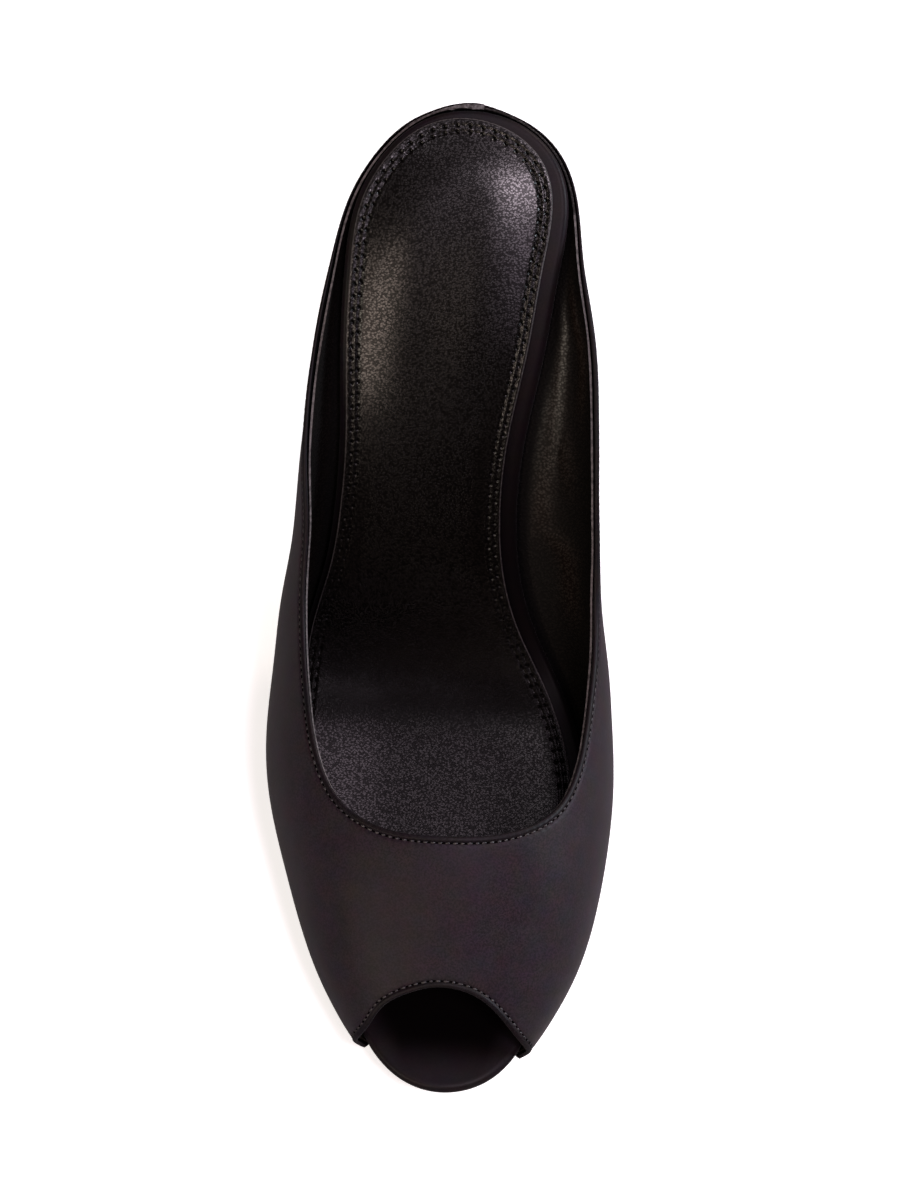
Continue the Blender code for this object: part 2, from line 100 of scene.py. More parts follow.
LAST = table(
    "along lateral_out lateral_up medial_out medial_up ridge_up",
    (0.00, 0.010, 0.12, 0.010, 0.12, 0.22), (0.05, 0.022, 0.14, 0.022, 0.14, 0.40),
    (0.10, 0.039, 0.18, 0.039, 0.18, 0.56), (0.20, 0.042, 0.24, 0.042, 0.24, 0.84),
    (0.30, 0.052, 0.27, 0.052, 0.28, 0.97), (0.36, 0.052, 0.28, 0.075, 0.34, 0.99),
    (0.43, 0.052, 0.29, 0.138, 0.44, 0.98), (0.50, 0.069, 0.30, 0.198, 0.50, 0.95),
    (0.58, 0.085, 0.30, 0.216, 0.48, 0.92), (0.66, 0.082, 0.27, 0.198, 0.40, 0.88),
    (0.75, 0.057, 0.21, 0.142, 0.28, 0.84), (0.83, 0.027, 0.14, 0.074, 0.18, 0.80),
    (0.90, 0.010, 0.09, 0.020, 0.10, 0.78), (1.00, 0.007, 0.08, 0.007, 0.08, 0.76),
)
PEEP = table(
    "girth lateral_along medial_along",
    (2.00, 0.0859, 0.0859), (1.81, 0.0808, 0.0807), (1.60, 0.0695, 0.0645), (1.42, 0.0557, 0.0515),
    (1.22, 0.0485, 0.0440), (0.80, 0.0470, 0.0420), (0.00, 0.0460, 0.0400),
)
TOPLINE = table(
    "along lateral_girth medial_girth",
    (0.214, 2.00, 2.00), (0.219, 1.79, 1.78), (0.250, 1.57, 1.53), (0.288, 1.49, 1.43), (0.352, 1.43, 1.34),
    (0.400, 1.38, 1.27), (0.475, 1.32, 1.14), (0.560, 1.24, 1.06), (0.660, 1.10, 1.00), (0.760, 0.98, 0.95),
    (0.850, 0.88, 0.88), (0.930, 0.66, 0.66), (0.975, 0.62, 0.62), (1.000, 0.84, 0.84),
)
RIB_ENDS = table(
    "rib outer_edge topline",
    (0.00, 0.00, 0.00), (0.15, 1.00, 0.10), (0.38, 1.30, 0.26), (1.00, 2.00, 1.00),
)
PEEP_RIBS = RIB_ENDS["rib"][1]   # ribs up to here start on the peep arch
GIRTH_REACH = 0.16               # length of one unit of girth, in sole lengths
WALL_STRAIGHTNESS = 0.25
FAN_START = 0.70                 # where the ribs begin to fan round the heel
FAN_END = 0.86
print("tables of the last:", len(OUTLINE["along"]), "outline rows,", len(LAST["along"]), "sections")


# %% Reading a table smoothly
def monotone(positions, values, at):
    """Smooth curve through the rows that never overshoots them."""
    steps = np.diff(positions)
    rises = np.diff(values) / steps
    slopes = np.zeros(len(values))
    slopes[0] = rises[0]
    slopes[-1] = rises[-1]
    for row in range(1, len(values) - 1):
        before = rises[row - 1]
        after = rises[row]
        if before * after > 0:
            slopes[row] = 2 * before * after / (before + after)
    row = np.clip(np.searchsorted(positions, at) - 1, 0, len(steps) - 1)
    share = (at - positions[row]) / steps[row]
    start = values[row] + slopes[row] * steps[row] * share * (1 - share) ** 2
    rise = (values[row + 1] - values[row]) * share ** 2 * (3 - 2 * share)
    return start + rise - slopes[row + 1] * steps[row] * share ** 2 * (1 - share)


def spline(positions, values, at):
    """Natural cubic spline through the rows of values, read at the given positions."""
    positions = np.asarray(positions, dtype=float)
    values = np.asarray(values, dtype=float)
    steps = np.diff(positions)
    count = len(positions)
    system = np.eye(count)
    right = np.zeros_like(values)
    for row in range(1, count - 1):
        system[row, row - 1:row + 2] = steps[row - 1], 2 * (steps[row - 1] + steps[row]), steps[row]
        rise_after = (values[row + 1] - values[row]) / steps[row]
        rise_before = (values[row] - values[row - 1]) / steps[row - 1]
        right[row] = 6 * (rise_after - rise_before)
    bends = np.linalg.solve(system, right)
    at = np.asarray(at, dtype=float)
    row = np.clip(np.searchsorted(positions, at) - 1, 0, count - 2)
    step = steps[row]
    left = (positions[row + 1] - at) / step
    share = (at - positions[row]) / step
    if values.ndim > 1:
        step, left, share = step[..., None], left[..., None], share[..., None]
    curve = (left ** 3 - left) * bends[row] + (share ** 3 - share) * bends[row + 1]
    return left * values[row] + share * values[row + 1] + curve * step ** 2 / 6


def chords(points):
    """Running length along a row of points."""
    lengths = np.linalg.norm(np.diff(points, axis=0), axis=1)
    return np.concatenate([[0.0], np.cumsum(lengths)])


def unit(vectors):
    """The same directions, one metre long."""
    return vectors / np.linalg.norm(vectors, axis=-1, keepdims=True)


def smooth_step(low, high, at):
    """0 below low, 1 above high and a soft change between."""
    share = np.clip((np.asarray(at, dtype=float) - low) / (high - low), 0, 1)
    return share ** 2 * (3 - 2 * share)


# %% [markdown]
# ## The bottom and the outline
# The insole is cut flat and then bent to the arch. So its outline is worked out flat, as a distance from the
# shoe's axis and a station along the bottom, and one function bends any flat point to the profile and lifts
# it square to the bottom. Every sheet in the sole uses that function, whatever its thickness.

# %% Bottom profile
PROFILE_STEPS = 1060
HALVINGS = 60                # when working out the steepest slope


def bottom_profile():
    """Side view of the insole's underside as arrays of along, y, z and slope, standing clear of the floor."""
    along = np.linspace(PITCH["along"][0], PITCH["along"][-1], PROFILE_STEPS + 1)
    share = monotone(PITCH["along"], PITCH["slope"], along)
    step = SOLE_LENGTH * (along[1] - along[0])
    low = 0.0
    high = math.pi / 2
    for _ in range(HALVINGS):
        steepest = (low + high) / 2
        slope = share * steepest
        middle = (slope[1:] + slope[:-1]) / 2
        z = np.concatenate([[0.0], np.cumsum(np.sin(middle) * step)])
        if np.interp(1.0, along, z) - z.min() < SEAT_RISE:
            low = steepest
        else:
            high = steepest
    y = np.concatenate([[0.0], np.cumsum(np.cos(middle) * step)])
    y = y - np.interp(0.0, along, y)
    return along, y, z - z.min() + OUTSOLE_THICK + UNDER_MARGIN, slope


PROFILE = bottom_profile()


def slope_at(along):
    """Slope of the bottom at a station."""
    return np.interp(along, PROFILE[0], PROFILE[3])


def bend(x, along, lift):
    """Points of the flat pattern, bent to the bottom's profile and lifted square to it."""
    slope = slope_at(along)
    y = np.interp(along, PROFILE[0], PROFILE[1]) - np.sin(slope) * lift
    z = np.interp(along, PROFILE[0], PROFILE[2]) + np.cos(slope) * lift
    return np.stack(np.broadcast_arrays(x, y, z), axis=-1)


print(f"steepest slope of the shank {math.degrees(PROFILE[3].max()):.1f} degrees")

# %% Outline of the insole
WRAP = 4                     # rows borrowed from the other side, so the outline is smooth at both ends
NUDGE = 1e-4                 # step to either side when taking the outline's direction


def outline_rows(side):
    """Flat rows of the outline on one side."""
    x = OUTLINE["medial"] if side == MEDIAL else -OUTLINE["lateral"]
    return np.stack([x * BALL_WIDTH, OUTLINE["along"] * SOLE_LENGTH], axis=1)


RUNNING = (chords(outline_rows(LATERAL)) + chords(outline_rows(MEDIAL))) / 2
KNOTS = RUNNING / RUNNING[-1]


def outline(side, place, inset=0.0):
    """Flat points (x, along) on one side of the insole, moved inwards by the inset, and the way out."""
    rows = outline_rows(side)
    over = outline_rows(-side)
    knots = np.concatenate([-KNOTS[WRAP:0:-1], KNOTS, 2 - KNOTS[-2:-2 - WRAP:-1]])
    points = np.concatenate([over[WRAP:0:-1], rows, over[-2:-2 - WRAP:-1]])
    place = np.asarray(place, dtype=float)
    ahead = unit(spline(knots, points, place + NUDGE) - spline(knots, points, place - NUDGE))
    inward = np.stack([-ahead[..., 1], ahead[..., 0]], axis=-1) * side
    point = spline(knots, points, place) + inward * np.asarray(inset, dtype=float)[..., None]
    return point[..., 0], point[..., 1] / SOLE_LENGTH, -inward


def place_of(along):
    """Outline position of a station given as a share of the length."""
    return np.interp(along, OUTLINE["along"], KNOTS)


print(f"half the insole's outline is {RUNNING[-1] / MM:.0f} mm long")


# %% Surface of the last
def last_point(side, place, girth):
    """Points on the last: girth is 0 at the insole's edge, 1 at the widest point and 2 on the ridge."""
    place, girth = np.broadcast_arrays(np.asarray(place, dtype=float), np.asarray(girth, dtype=float))
    name = "medial" if side == MEDIAL else "lateral"
    x, along, outward = outline(side, place)
    foot = bend(x, along, -MARGIN_GAP)
    fan = smooth_step(FAN_START, FAN_END, along)[..., None]
    direction = unit((1 - fan) * np.array([side, 0.0]) + fan * outward)
    out = spline(LAST["along"], LAST[name + "_out"], along) * BALL_WIDTH
    up = spline(LAST["along"], LAST[name + "_up"], along) * INSTEP_HEIGHT

    lower = np.clip(girth, 0, 1)
    turn = lower * math.pi / 2
    reach = (1 - WALL_STRAIGHTNESS) * np.sin(turn) + WALL_STRAIGHTNESS * lower
    rise = (1 - WALL_STRAIGHTNESS) * (1 - np.cos(turn)) + WALL_STRAIGHTNESS * lower
    wall = foot + np.concatenate([direction * (out * reach)[..., None], (up * rise)[..., None]], axis=-1)

    _, other_along, _ = outline(-side, place)
    ridge_along = (along + other_along) / 2
    ridge = bend(np.zeros_like(x), ridge_along, 0.0)
    ridge[..., 2] += spline(LAST["along"], LAST["ridge_up"], ridge_along) * INSTEP_HEIGHT
    turn = (np.clip(girth, 1, 2) - 1) * math.pi / 2
    crown = ridge + (wall - ridge) * np.cos(turn)[..., None]
    crown[..., 2] = wall[..., 2] + (ridge[..., 2] - wall[..., 2]) * np.sin(turn)
    return np.where((girth > 1)[..., None], crown, wall)


# %% Where the last stands in the frame
SOCK_FRONT = 0.16            # where the sock ends under the vamp, in sole lengths
SOCK_INSET = {LATERAL: 1.4 * MM, MEDIAL: 3.8 * MM}
SOCK_INSET_BACK = 2.5 * MM
OUTLINE_STEPS = 400

every_place = np.linspace(0, 1, OUTLINE_STEPS)
lateral_x = outline(LATERAL, every_place)[0].min()
medial_x = outline(MEDIAL, every_place)[0].max()
insole_low, insole_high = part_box("insole")
sock_back = bend(*outline(MEDIAL, 1.0, SOCK_INSET_BACK)[:2], INSOLE_THICK + GAP)[1]
SHIFT = np.array([
    (insole_low.x - lateral_x + insole_high.x - medial_x) / 2,
    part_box("sock")[1].y - sock_back,
    0.0,
])
print("the toe tip of the tables stands at", (SHIFT / MM).round(3), "mm")


# %% [markdown]
# ## Shader maths that reads like maths
# A material is a net of nodes, and sums written node by node are hard to follow. One small class wraps a
# socket instead. Adding, subtracting or multiplying wrapped sockets adds the Math nodes, and short methods
# add what every finish needs: the place on the piece, noise, a vertex attribute and a bump. Colours and
# vectors go through Mix and Vector Math nodes, because a Math node would turn a colour grey.

# %% A wire in a material
class Wire:
    """One socket of a material; arithmetic on it adds Math nodes."""

    def __init__(self, tree, socket=None):
        self.tree = tree
        self.socket = socket

    def node(self, kind, settings, sockets, output=0):
        """A new node: its settings are set first, then each socket gets a value or a link."""
        made = self.tree.nodes.new("ShaderNode" + kind)
        for name, value in settings.items():
            setattr(made, name, value)
        for name, value in sockets.items():
            if isinstance(value, Wire):
                self.tree.links.new(value.socket, made.inputs[name])
            else:
                made.inputs[name].default_value = value
        return Wire(self.tree, made.outputs[output])

    def maths(self, operation, *values):
        return self.node("Math", {"operation": operation}, dict(enumerate(values)))

    def vector(self, operation, *values):
        return self.node("VectorMath", {"operation": operation}, dict(enumerate(values)))

    def mix(self, low, high):
        """A colour between two others, chosen by this wire."""
        return self.node("Mix", {"data_type": "RGBA"}, {0: self, 6: low, 7: high}, output=2)

    def between(self, low, high):
        """0 at low, 1 at high, with soft ends."""
        settings = {"interpolation_type": "SMOOTHSTEP"}
        return self.node("MapRange", settings, {"Value": self, "From Min": low, "From Max": high})

    def place(self):
        """Where a point lies in its piece's own space."""
        return self.node("TexCoord", {}, {}, output="Object")

    def attribute(self, name):
        """A value that a mesh carries at its points."""
        return self.node("Attribute", {"attribute_name": name}, {}, output="Fac")

    def noise(self, size, detail, output=0):
        """Noise read at this place, in lumps of about the given size."""
        return self.node("TexNoise", {}, {"Vector": self, "Scale": 1 / size, "Detail": detail}, output)

    def bump(self, strength, relief):
        """Shading direction of a surface that stands as high as this wire says."""
        return self.node("Bump", {}, {"Strength": strength, "Distance": relief, "Height": self})

    def __add__(self, other):
        return self.maths("ADD", self, other)

    def __sub__(self, other):
        return self.maths("SUBTRACT", self, other)

    def __rsub__(self, other):
        return self.maths("SUBTRACT", other, self)

    def __mul__(self, other):
        return self.maths("MULTIPLY", self, other)

    __radd__ = __add__
    __rmul__ = __mul__


# %% Starting and closing a finish
def start_finish(name, even):
    """A new material with its even values on the shader's own sockets, and a wire to add nodes with."""
    material = bpy.data.materials.new(name)
    material.use_nodes = True
    shader = material.node_tree.nodes["Principled BSDF"]
    for socket, value in even.items():
        shader.inputs[socket].default_value = value
    return material, Wire(material.node_tree)


def close_finish(material, **varying):
    """Links what varies over the surface to the shader."""
    shader = material.node_tree.nodes["Principled BSDF"]
    for socket, wire in varying.items():
        material.node_tree.links.new(wire.socket, shader.inputs[socket.replace("_", " ")])
    print("finish:", material.name, len(material.node_tree.nodes), "nodes")
    return material


# %% [markdown]
# ## Satin
# Satin is woven with long floats, so one set of threads lies on top and the cloth has a soft gloss without a
# visible check. An image of cloth would do, but it has to be unwrapped. Here a noise that is stretched along
# the threads gives the fine lines, slow clouds vary the dye and the gloss, and a little sheen brightens the
# cloth where it turns away. Black dye is never even, so a colour noise lets it lean to brown or to violet.

# %% Satin
THREAD = 0.16 * MM           # spacing of the floats
FLOAT_LENGTH = 1.4 * MM
THREAD_RELIEF = 0.02 * MM
SLUB = 0.45 * MM             # size of the small uneven spots in the yarn
DYE_CLOUD = 14 * MM
TINT_CLOUD = 5 * MM          # over this length the black leans to brown or to violet
MIDDLE_GREY = (0.5, 0.5, 0.5)
CLOTH_MIRROR = 0.13          # the shader's specular level
SHADE_FADED_COAT = 0.24          # coat weight of satin that carries painted shade; the painted shade takes it away
SATIN_IN_SHADE = (0.0018, 0.0012, 0.0014, 1)


def satin(name, dark, light, gloss, sheen, shade=None):
    """Dyed satin: gloss is the mean roughness, and shade names a vertex attribute of painted shade that
    darkens it and takes its coat away.
    """
    # satin that carries painted shade shines only through its coat, so that the painted shade can take the
    # shine away
    mirror = 0.0 if shade else CLOTH_MIRROR
    even = {"Specular IOR Level": mirror, "Coat Roughness": gloss}
    material, wire = start_finish(name, {**even, "Sheen Weight": sheen, "Sheen Roughness": 0.5})
    place = wire.place()
    floats = wire.vector("MULTIPLY", place, (1 / THREAD, 1 / FLOAT_LENGTH, 1 / THREAD)).noise(1.0, 2.0)
    cloud = place.noise(DYE_CLOUD, 3.0)
    slubs = place.noise(SLUB, 2.0)
    tint = place.noise(TINT_CLOUD, 4.0, output="Color")
    colour = (0.25 * cloud + 0.15 * floats + 0.6 * slubs.between(0.34, 0.66)).mix(dark, light)
    colour = wire.vector("MULTIPLY", colour, wire.vector("ADD", tint, MIDDLE_GREY))
    roughness = gloss + 0.10 * (cloud - 0.5) + 0.14 * (floats - 0.5) + 0.12 * (slubs - 0.5)
    shine = {}
    if shade:
        # painted shade: the attribute darkens the colour and takes away the coat
        unlit = wire.attribute(shade)
        colour = unlit.mix(colour, SATIN_IN_SHADE)
        shine["Coat_Weight"] = SHADE_FADED_COAT * (1 - unlit)
    normal = floats.bump(0.5, THREAD_RELIEF)
    return close_finish(material, Base_Color=colour, Roughness=roughness, Normal=normal, **shine)


upper_satin = satin("black_satin", (0.0053, 0.0032, 0.0046, 1), (0.0212, 0.0129, 0.0184, 1), 0.48, 0.075)
rolled_satin = satin("rolled_satin", (0.0022, 0.0013, 0.0018, 1), (0.0090, 0.0056, 0.0076, 1), 0.48, 0.03)
wrap_satin = satin(
    "tight_satin", (0.0060, 0.0040, 0.0050, 1), (0.0100, 0.0066, 0.0082, 1), 0.42, 0.02, shade="shade",
)

# %% [markdown]
# ## Leather
# The sock and the lining are thin leather with a pebbled grain. The grain is made of cells: a Voronoi
# texture gives each pebble its round top and the crease round it. Before it is read, the place is pushed
# about by a slow noise, so that the pebbles change a little in size and shape from one part of the hide to
# the next. Polish stays on the tops, so a coat is mixed in there, while the creases are dull and coloured
# darker as painted shade. A vertex attribute can add more painted shade, which darkens the leather and takes
# its polish.

# %% Leather
GRAIN_DRIFT = 12 * MM        # over this length the grain is pushed another way
GRAIN_SLIDE = 2 * MM         # how far the slow noise pushes the grain
GRAIN_STRETCH = (0.9, 1.2, 1.0)   # the pebbles are longer across the hide
WEAR_CLOUD = 22 * MM
PEBBLE_FALL = 2.6            # how soon a pebble falls away from its middle
PORES = 2.2                  # across one pebble
CREASE_POLISH = 0.15         # share of the polish that is left in the creases
LEATHER_IN_SHADE = (0.0008, 0.0006, 0.0005, 1)


def leather(name, dark, light, grain, relief, gloss, polish, mirror, depth=None, shade=None, dull=None):
    """Pebbled leather; depth, shade and dull name vertex attributes for relief, painted shade and lost
    polish.
    """
    material, wire = start_finish(name, {"Specular IOR Level": mirror, "Coat Roughness": gloss})
    place = wire.place()
    drift = wire.vector("SUBTRACT", place.noise(GRAIN_DRIFT, 1.0, output="Color"), MIDDLE_GREY)
    pushed = wire.vector("ADD", place, wire.vector("MULTIPLY", drift, (GRAIN_SLIDE,) * 3))
    pushed = wire.vector("MULTIPLY", pushed, GRAIN_STRETCH)
    from_middle = wire.node("TexVoronoi", {"feature": "F1"}, {"Vector": pushed, "Scale": 1 / grain})
    top = (1 - PEBBLE_FALL * from_middle * from_middle).between(0.0, 1.0)
    pores = place.noise(grain / PORES, 2.0)
    cloud = place.noise(WEAR_CLOUD, 3.0)
    # the creases are coloured darker than the tops as painted shade; the cloud is tone that varies at random
    colour = (0.55 * top + 0.45 * cloud).mix(dark, light)
    roughness = gloss + 0.08 * (cloud - 0.5) + 0.06 * (pores - 0.5)
    polished = polish * (CREASE_POLISH + (1 - CREASE_POLISH) * top)
    height = top + 0.3 * pores
    if depth:
        height = height * wire.attribute(depth)
    if dull:
        polished = polished * (1 - wire.attribute(dull))
    # painted shade: the attribute darkens the colour, roughens it and takes its polish away
    if shade:
        unlit = wire.attribute(shade)
        colour = unlit.mix(colour, LEATHER_IN_SHADE)
        roughness = roughness + 0.4 * unlit
        polished = polished * (1 - unlit)
    normal = height.bump(1.0, relief)
    return close_finish(material, Base_Color=colour, Roughness=roughness, Coat_Weight=polished, Normal=normal)


sock_leather = leather(
    "grained_leather", (0.0010, 0.0008, 0.0007, 1), (0.0060, 0.0049, 0.0044, 1),
    grain=0.50 * MM, relief=0.092 * MM, gloss=0.25, polish=1.0, mirror=0.05, depth="grain_depth", dull="dull",
)
lining_leather = leather(
    "soft_leather", (0.0020, 0.0012, 0.0009, 1), (0.0200, 0.0132, 0.0098, 1),
    grain=0.66 * MM, relief=0.10 * MM, gloss=0.34, polish=1.0, mirror=0.12, shade="shade",
)
sole_leather = leather(
    "smooth_leather", (0.0090, 0.0078, 0.0072, 1), (0.0170, 0.0148, 0.0135, 1),
    grain=0.45 * MM, relief=0.02 * MM, gloss=0.40, polish=0.1, mirror=0.3,
)

# %% [markdown]
# ## Small finishes
# Thread, cut leather and hard rubber cover little area, yet they show at the edges of everything else. Each
# one is a noise at its own scale: twisted strands, loose fibres, and the fine dimples of moulded rubber. One
# more finish, nearly black, is for places that no light gets into, like needle holes.


# %% Thread, cut edges and rubber
def speckled(name, dark, light, speck, relief, gloss, mirror=0.5):
    """A finish with one small speckle in colour, gloss and height; mirror is the shader's specular level."""
    material, wire = start_finish(name, {"Specular IOR Level": mirror})
    specks = wire.place().noise(speck, 3.0)
    normal = specks.bump(0.6, relief)
    roughness = gloss + 0.3 * (specks - 0.5)
    colour = specks.between(0.3, 0.7).mix(dark, light)
    return close_finish(material, Base_Color=colour, Roughness=roughness, Normal=normal)


thread = speckled("thread", (0.002, 0.0015, 0.0018, 1), (0.040, 0.033, 0.036, 1), 0.25 * MM, 0.05 * MM, 0.40)
cut_edge = speckled("cut_edge", (0.026, 0.022, 0.021, 1), (0.115, 0.100, 0.100, 1), 0.9 * MM, 0.1 * MM, 0.7)
raw_edge = speckled("raw_edge", (0.014, 0.012, 0.012, 1), (0.125, 0.112, 0.115, 1), 0.8 * MM, 0.2 * MM, 0.75)
cut_sock = speckled("cut_sock", (0.010, 0.008, 0.008, 1), (0.050, 0.044, 0.043, 1), 0.5 * MM, 0.1 * MM, 0.6)
black = (0.0004, 0.0003, 0.0003, 1)
deep_shade = speckled("deep_shade", black, (0.0010, 0.0008, 0.0008, 1), 0.3 * MM, 0.02 * MM, 0.8, mirror=0.02)
rubber = speckled("hard_rubber", (0.010, 0.010, 0.010, 1), (0.020, 0.020, 0.020, 1), 0.8 * MM, 0.03 * MM, 0.6)

# %% [markdown]
# ## From arrays of points to pieces
# The pieces are grids that wrap round: a rib of the upper is a closed loop of points, and neighbouring ribs
# are joined with quads. Arrays keep that quick. One helper makes the faces of such a grid, and another turns
# points and faces into a smooth-shaded piece that rides on the frame.

# %% Making a piece
SHARP_ANGLE = math.radians(42)
MERGE = 1e-7
pieces = []


def grid_faces(rows, columns, round_rows, round_columns, first=0):
    """Quads between neighbouring points of a grid, wrapping where asked."""
    index = np.arange(rows * columns).reshape(rows, columns) + first
    if round_rows:
        index = np.vstack([index, index[:1]])
    if round_columns:
        index = np.hstack([index, index[:, :1]])
    corners = [index[:-1, :-1], index[1:, :-1], index[1:, 1:], index[:-1, 1:]]
    return np.stack(corners, axis=-1).reshape(-1, 4).tolist()


def add_piece(name, points, faces, finishes, replaced=(), worn=None, marks=None):
    """A closed piece on the frame; worn gives each face's finish and marks the vertex attributes."""
    mesh = bpy.data.meshes.new(name)
    mesh.from_pydata((points.reshape(-1, 3) + SHIFT).tolist(), [], faces)
    for finish in finishes:
        mesh.materials.append(finish)
    if worn is not None:
        mesh.polygons.foreach_set("material_index", np.asarray(worn, dtype=np.int32))
    for mark, values in (marks or {}).items():
        mesh.attributes.new(mark, "FLOAT", "POINT").data.foreach_set("value", values.ravel())
    work = bmesh.new()
    work.from_mesh(mesh)
    bmesh.ops.remove_doubles(work, verts=work.verts, dist=MERGE)
    bmesh.ops.holes_fill(work, edges=[edge for edge in work.edges if edge.is_boundary], sides=0)
    bmesh.ops.recalc_face_normals(work, faces=work.faces)
    open_edges = sum(not edge.is_manifold for edge in work.edges)
    work.to_mesh(mesh)
    work.free()
    mesh.shade_smooth()
    mesh.set_sharp_from_angle(angle=SHARP_ANGLE)
    piece = bpy.data.objects.new(name, mesh)
    bpy.context.scene.collection.objects.link(piece)
    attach(piece, "root")
    if replaced:
        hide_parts(*replaced)
    pieces.append(piece)
    triangles = sum(len(face.vertices) - 2 for face in mesh.polygons)
    print(f"{name}: {triangles} triangles, {open_edges} open edges")
    return piece


# %% [markdown]
# ## The upper as a net of ribs
# The upper is one curved wall between three lines: the arch of the peep toe, the edge of the insole and the
# topline. Ribs run from the first two to the third, all the way round from the heel back over the vamp.
# Working the wall out as ribs keeps the edges exact, which matters because the folds, the stitches and the
# lining all follow them.

# %% Edges of the upper
CURVE_STEPS = 1200


def edge_curve(along, girth, at_back):
    """Smooth curve of (outline position, girth) through a table's rows, square to the ridge and heel back."""
    rows = np.stack([place_of(along), girth], axis=1)
    rows = np.concatenate([rows[2:0:-1] * (1, -1) + (0, 4), rows])
    if at_back:
        rows = np.concatenate([rows, rows[-2:-4:-1] * (-1, 1) + (2, 0)])
    running = chords(rows * (1, GIRTH_REACH))
    last = -3 if at_back else -1
    return spline(running, rows, np.linspace(running[2], running[last], CURVE_STEPS))


def read_curve(side, curve, share):
    """Points of a curve at the given shares of its real length."""
    running = chords(last_point(side, curve[:, 0], curve[:, 1]))
    return np.stack([np.interp(share, running / running[-1], column) for column in curve.T], axis=-1)


def rib_ends(side, rib):
    """Start and end of each rib on one side, as (outline position, girth)."""
    name = "medial" if side == MEDIAL else "lateral"
    arch = edge_curve(PEEP[name + "_along"], PEEP["girth"], False)
    arch[-1, 1] = 0.0
    topline = edge_curve(TOPLINE["along"], TOPLINE[name + "_girth"], True)
    feather = np.stack([np.linspace(arch[-1, 0], 1.0, CURVE_STEPS), np.zeros(CURVE_STEPS)], axis=1)
    outer = monotone(RIB_ENDS["rib"], RIB_ENDS["outer_edge"], rib)
    on_arch = read_curve(side, arch, np.clip(outer, 0, 1))
    on_feather = read_curve(side, feather, np.clip(outer - 1, 0, 1))
    starts = np.where((outer > 1.0)[:, None], on_feather, on_arch)
    return starts, read_curve(side, topline, monotone(RIB_ENDS["rib"], RIB_ENDS["topline"], rib))


# %% Ribs of the wall
RIBS = 400                   # on each side, from the vamp's centre line to the heel back
EDGE_STEPS = np.array([0, 0.2, 0.4, 0.6, 0.8, 1.0, 1.25, 1.6, 2.1, 2.8, 3.8]) * MM   # fine steps at both ends
EDGE_SHARE = 0.3             # of a rib's length is the most that the fine steps take
MIDDLE_STEPS = 36
RIB_STEPS = 2 * len(EDGE_STEPS) - 2 + MIDDLE_STEPS
COARSE = np.linspace(0, 1, 81)
EASING = 8                   # passes that ease the last's widest line


def rib_steps(length):
    """Distances along ribs of the given lengths, close together at both ends."""
    fine = EDGE_STEPS * np.minimum(1, EDGE_SHARE * length / EDGE_STEPS[-1])[:, None]
    share = np.linspace(0, 1, MIDDLE_STEPS + 1)[1:-1]
    middle = fine[:, -1:] + share * (length[:, None] - 2 * fine[:, -1:])
    return np.concatenate([fine, middle, (length[:, None] - fine)[:, ::-1]], axis=1)


def wall_ribs(side, rib):
    """Points of the wall's inner face on one side, a row for each rib, with the rib's start on the chart."""
    starts, ends = rib_ends(side, rib)
    chart = starts[:, None] + (ends - starts)[:, None] * COARSE[:, None]
    running = np.array([chords(row) for row in last_point(side, chart[..., 0], chart[..., 1])])
    at = rib_steps(running[:, -1])
    share = np.array([np.interp(*row, COARSE) for row in zip(at, running)])
    chart = starts[:, None] + (ends - starts)[:, None] * share[..., None]
    points = last_point(side, chart[..., 0], chart[..., 1])
    for _ in range(EASING):
        points[:, 1:-1] = points[:, 1:-1] / 2 + (points[:, :-2] + points[:, 2:]) / 4
    return points, starts


rib = np.linspace(0, 1, RIBS + 1)
medial_wall, medial_starts = wall_ribs(MEDIAL, rib)
lateral_wall, lateral_starts = wall_ribs(LATERAL, rib)
ring = np.concatenate([rib[::-1], rib[1:-1]])
ring_side = np.concatenate([np.full(RIBS + 1, MEDIAL), np.full(RIBS - 1, LATERAL)])
wall = np.concatenate([medial_wall[::-1], lateral_wall[1:-1]])
ring_starts = np.concatenate([medial_starts[::-1], lateral_starts[1:-1]])
print("the wall is a ring of", len(wall), "ribs with", wall.shape[1], "points each")

# %% Directions on the wall
PEEP_END_PULL = 0.6 * MM     # the wall is pulled tight against the insole at the ends of the peep arch
PEEP_END_REACH = 5 * MM


def hill(distance, middle, width):
    """A soft hill, 1 at its middle."""
    return np.exp(-((distance - middle) / width) ** 2)


across_ribs = np.roll(wall, -1, axis=0) - np.roll(wall, 1, axis=0)
along_ribs = np.gradient(wall, axis=1)
facing = unit(np.cross(across_ribs, along_ribs))
facing = facing * np.sign(facing[RIBS, RIB_STEPS // 2, 2])
on_peep = ring <= PEEP_RIBS

peep_ends = wall[on_peep, 0][[0, -1]]
from_peep_end = np.linalg.norm(wall[:, :, None, :] - peep_ends, axis=-1).min(axis=-1)
wall = wall - facing * (PEEP_END_PULL * hill(from_peep_end, 0, PEEP_END_REACH))[..., None]


def beyond(edge, inner):
    """The way past an edge of the wall, in the wall and square to the edge."""
    ahead = across_ribs[:, edge]
    way = unit(np.cross(facing[:, edge], ahead))
    return way * np.sign(np.sum(way * (wall[:, edge] - wall[:, inner]), axis=-1))[:, None]


past_start = beyond(0, 1)
past_topline = beyond(-1, -2)


# %% Distances from the edges
LINE_STEP = 0.1 * MM


def dense(points):
    """A row of points at small even steps, with the running length of each."""
    running = chords(points)
    at = np.arange(0, running[-1], LINE_STEP)
    return np.stack([np.interp(at, running, column) for column in points.T], axis=-1), at


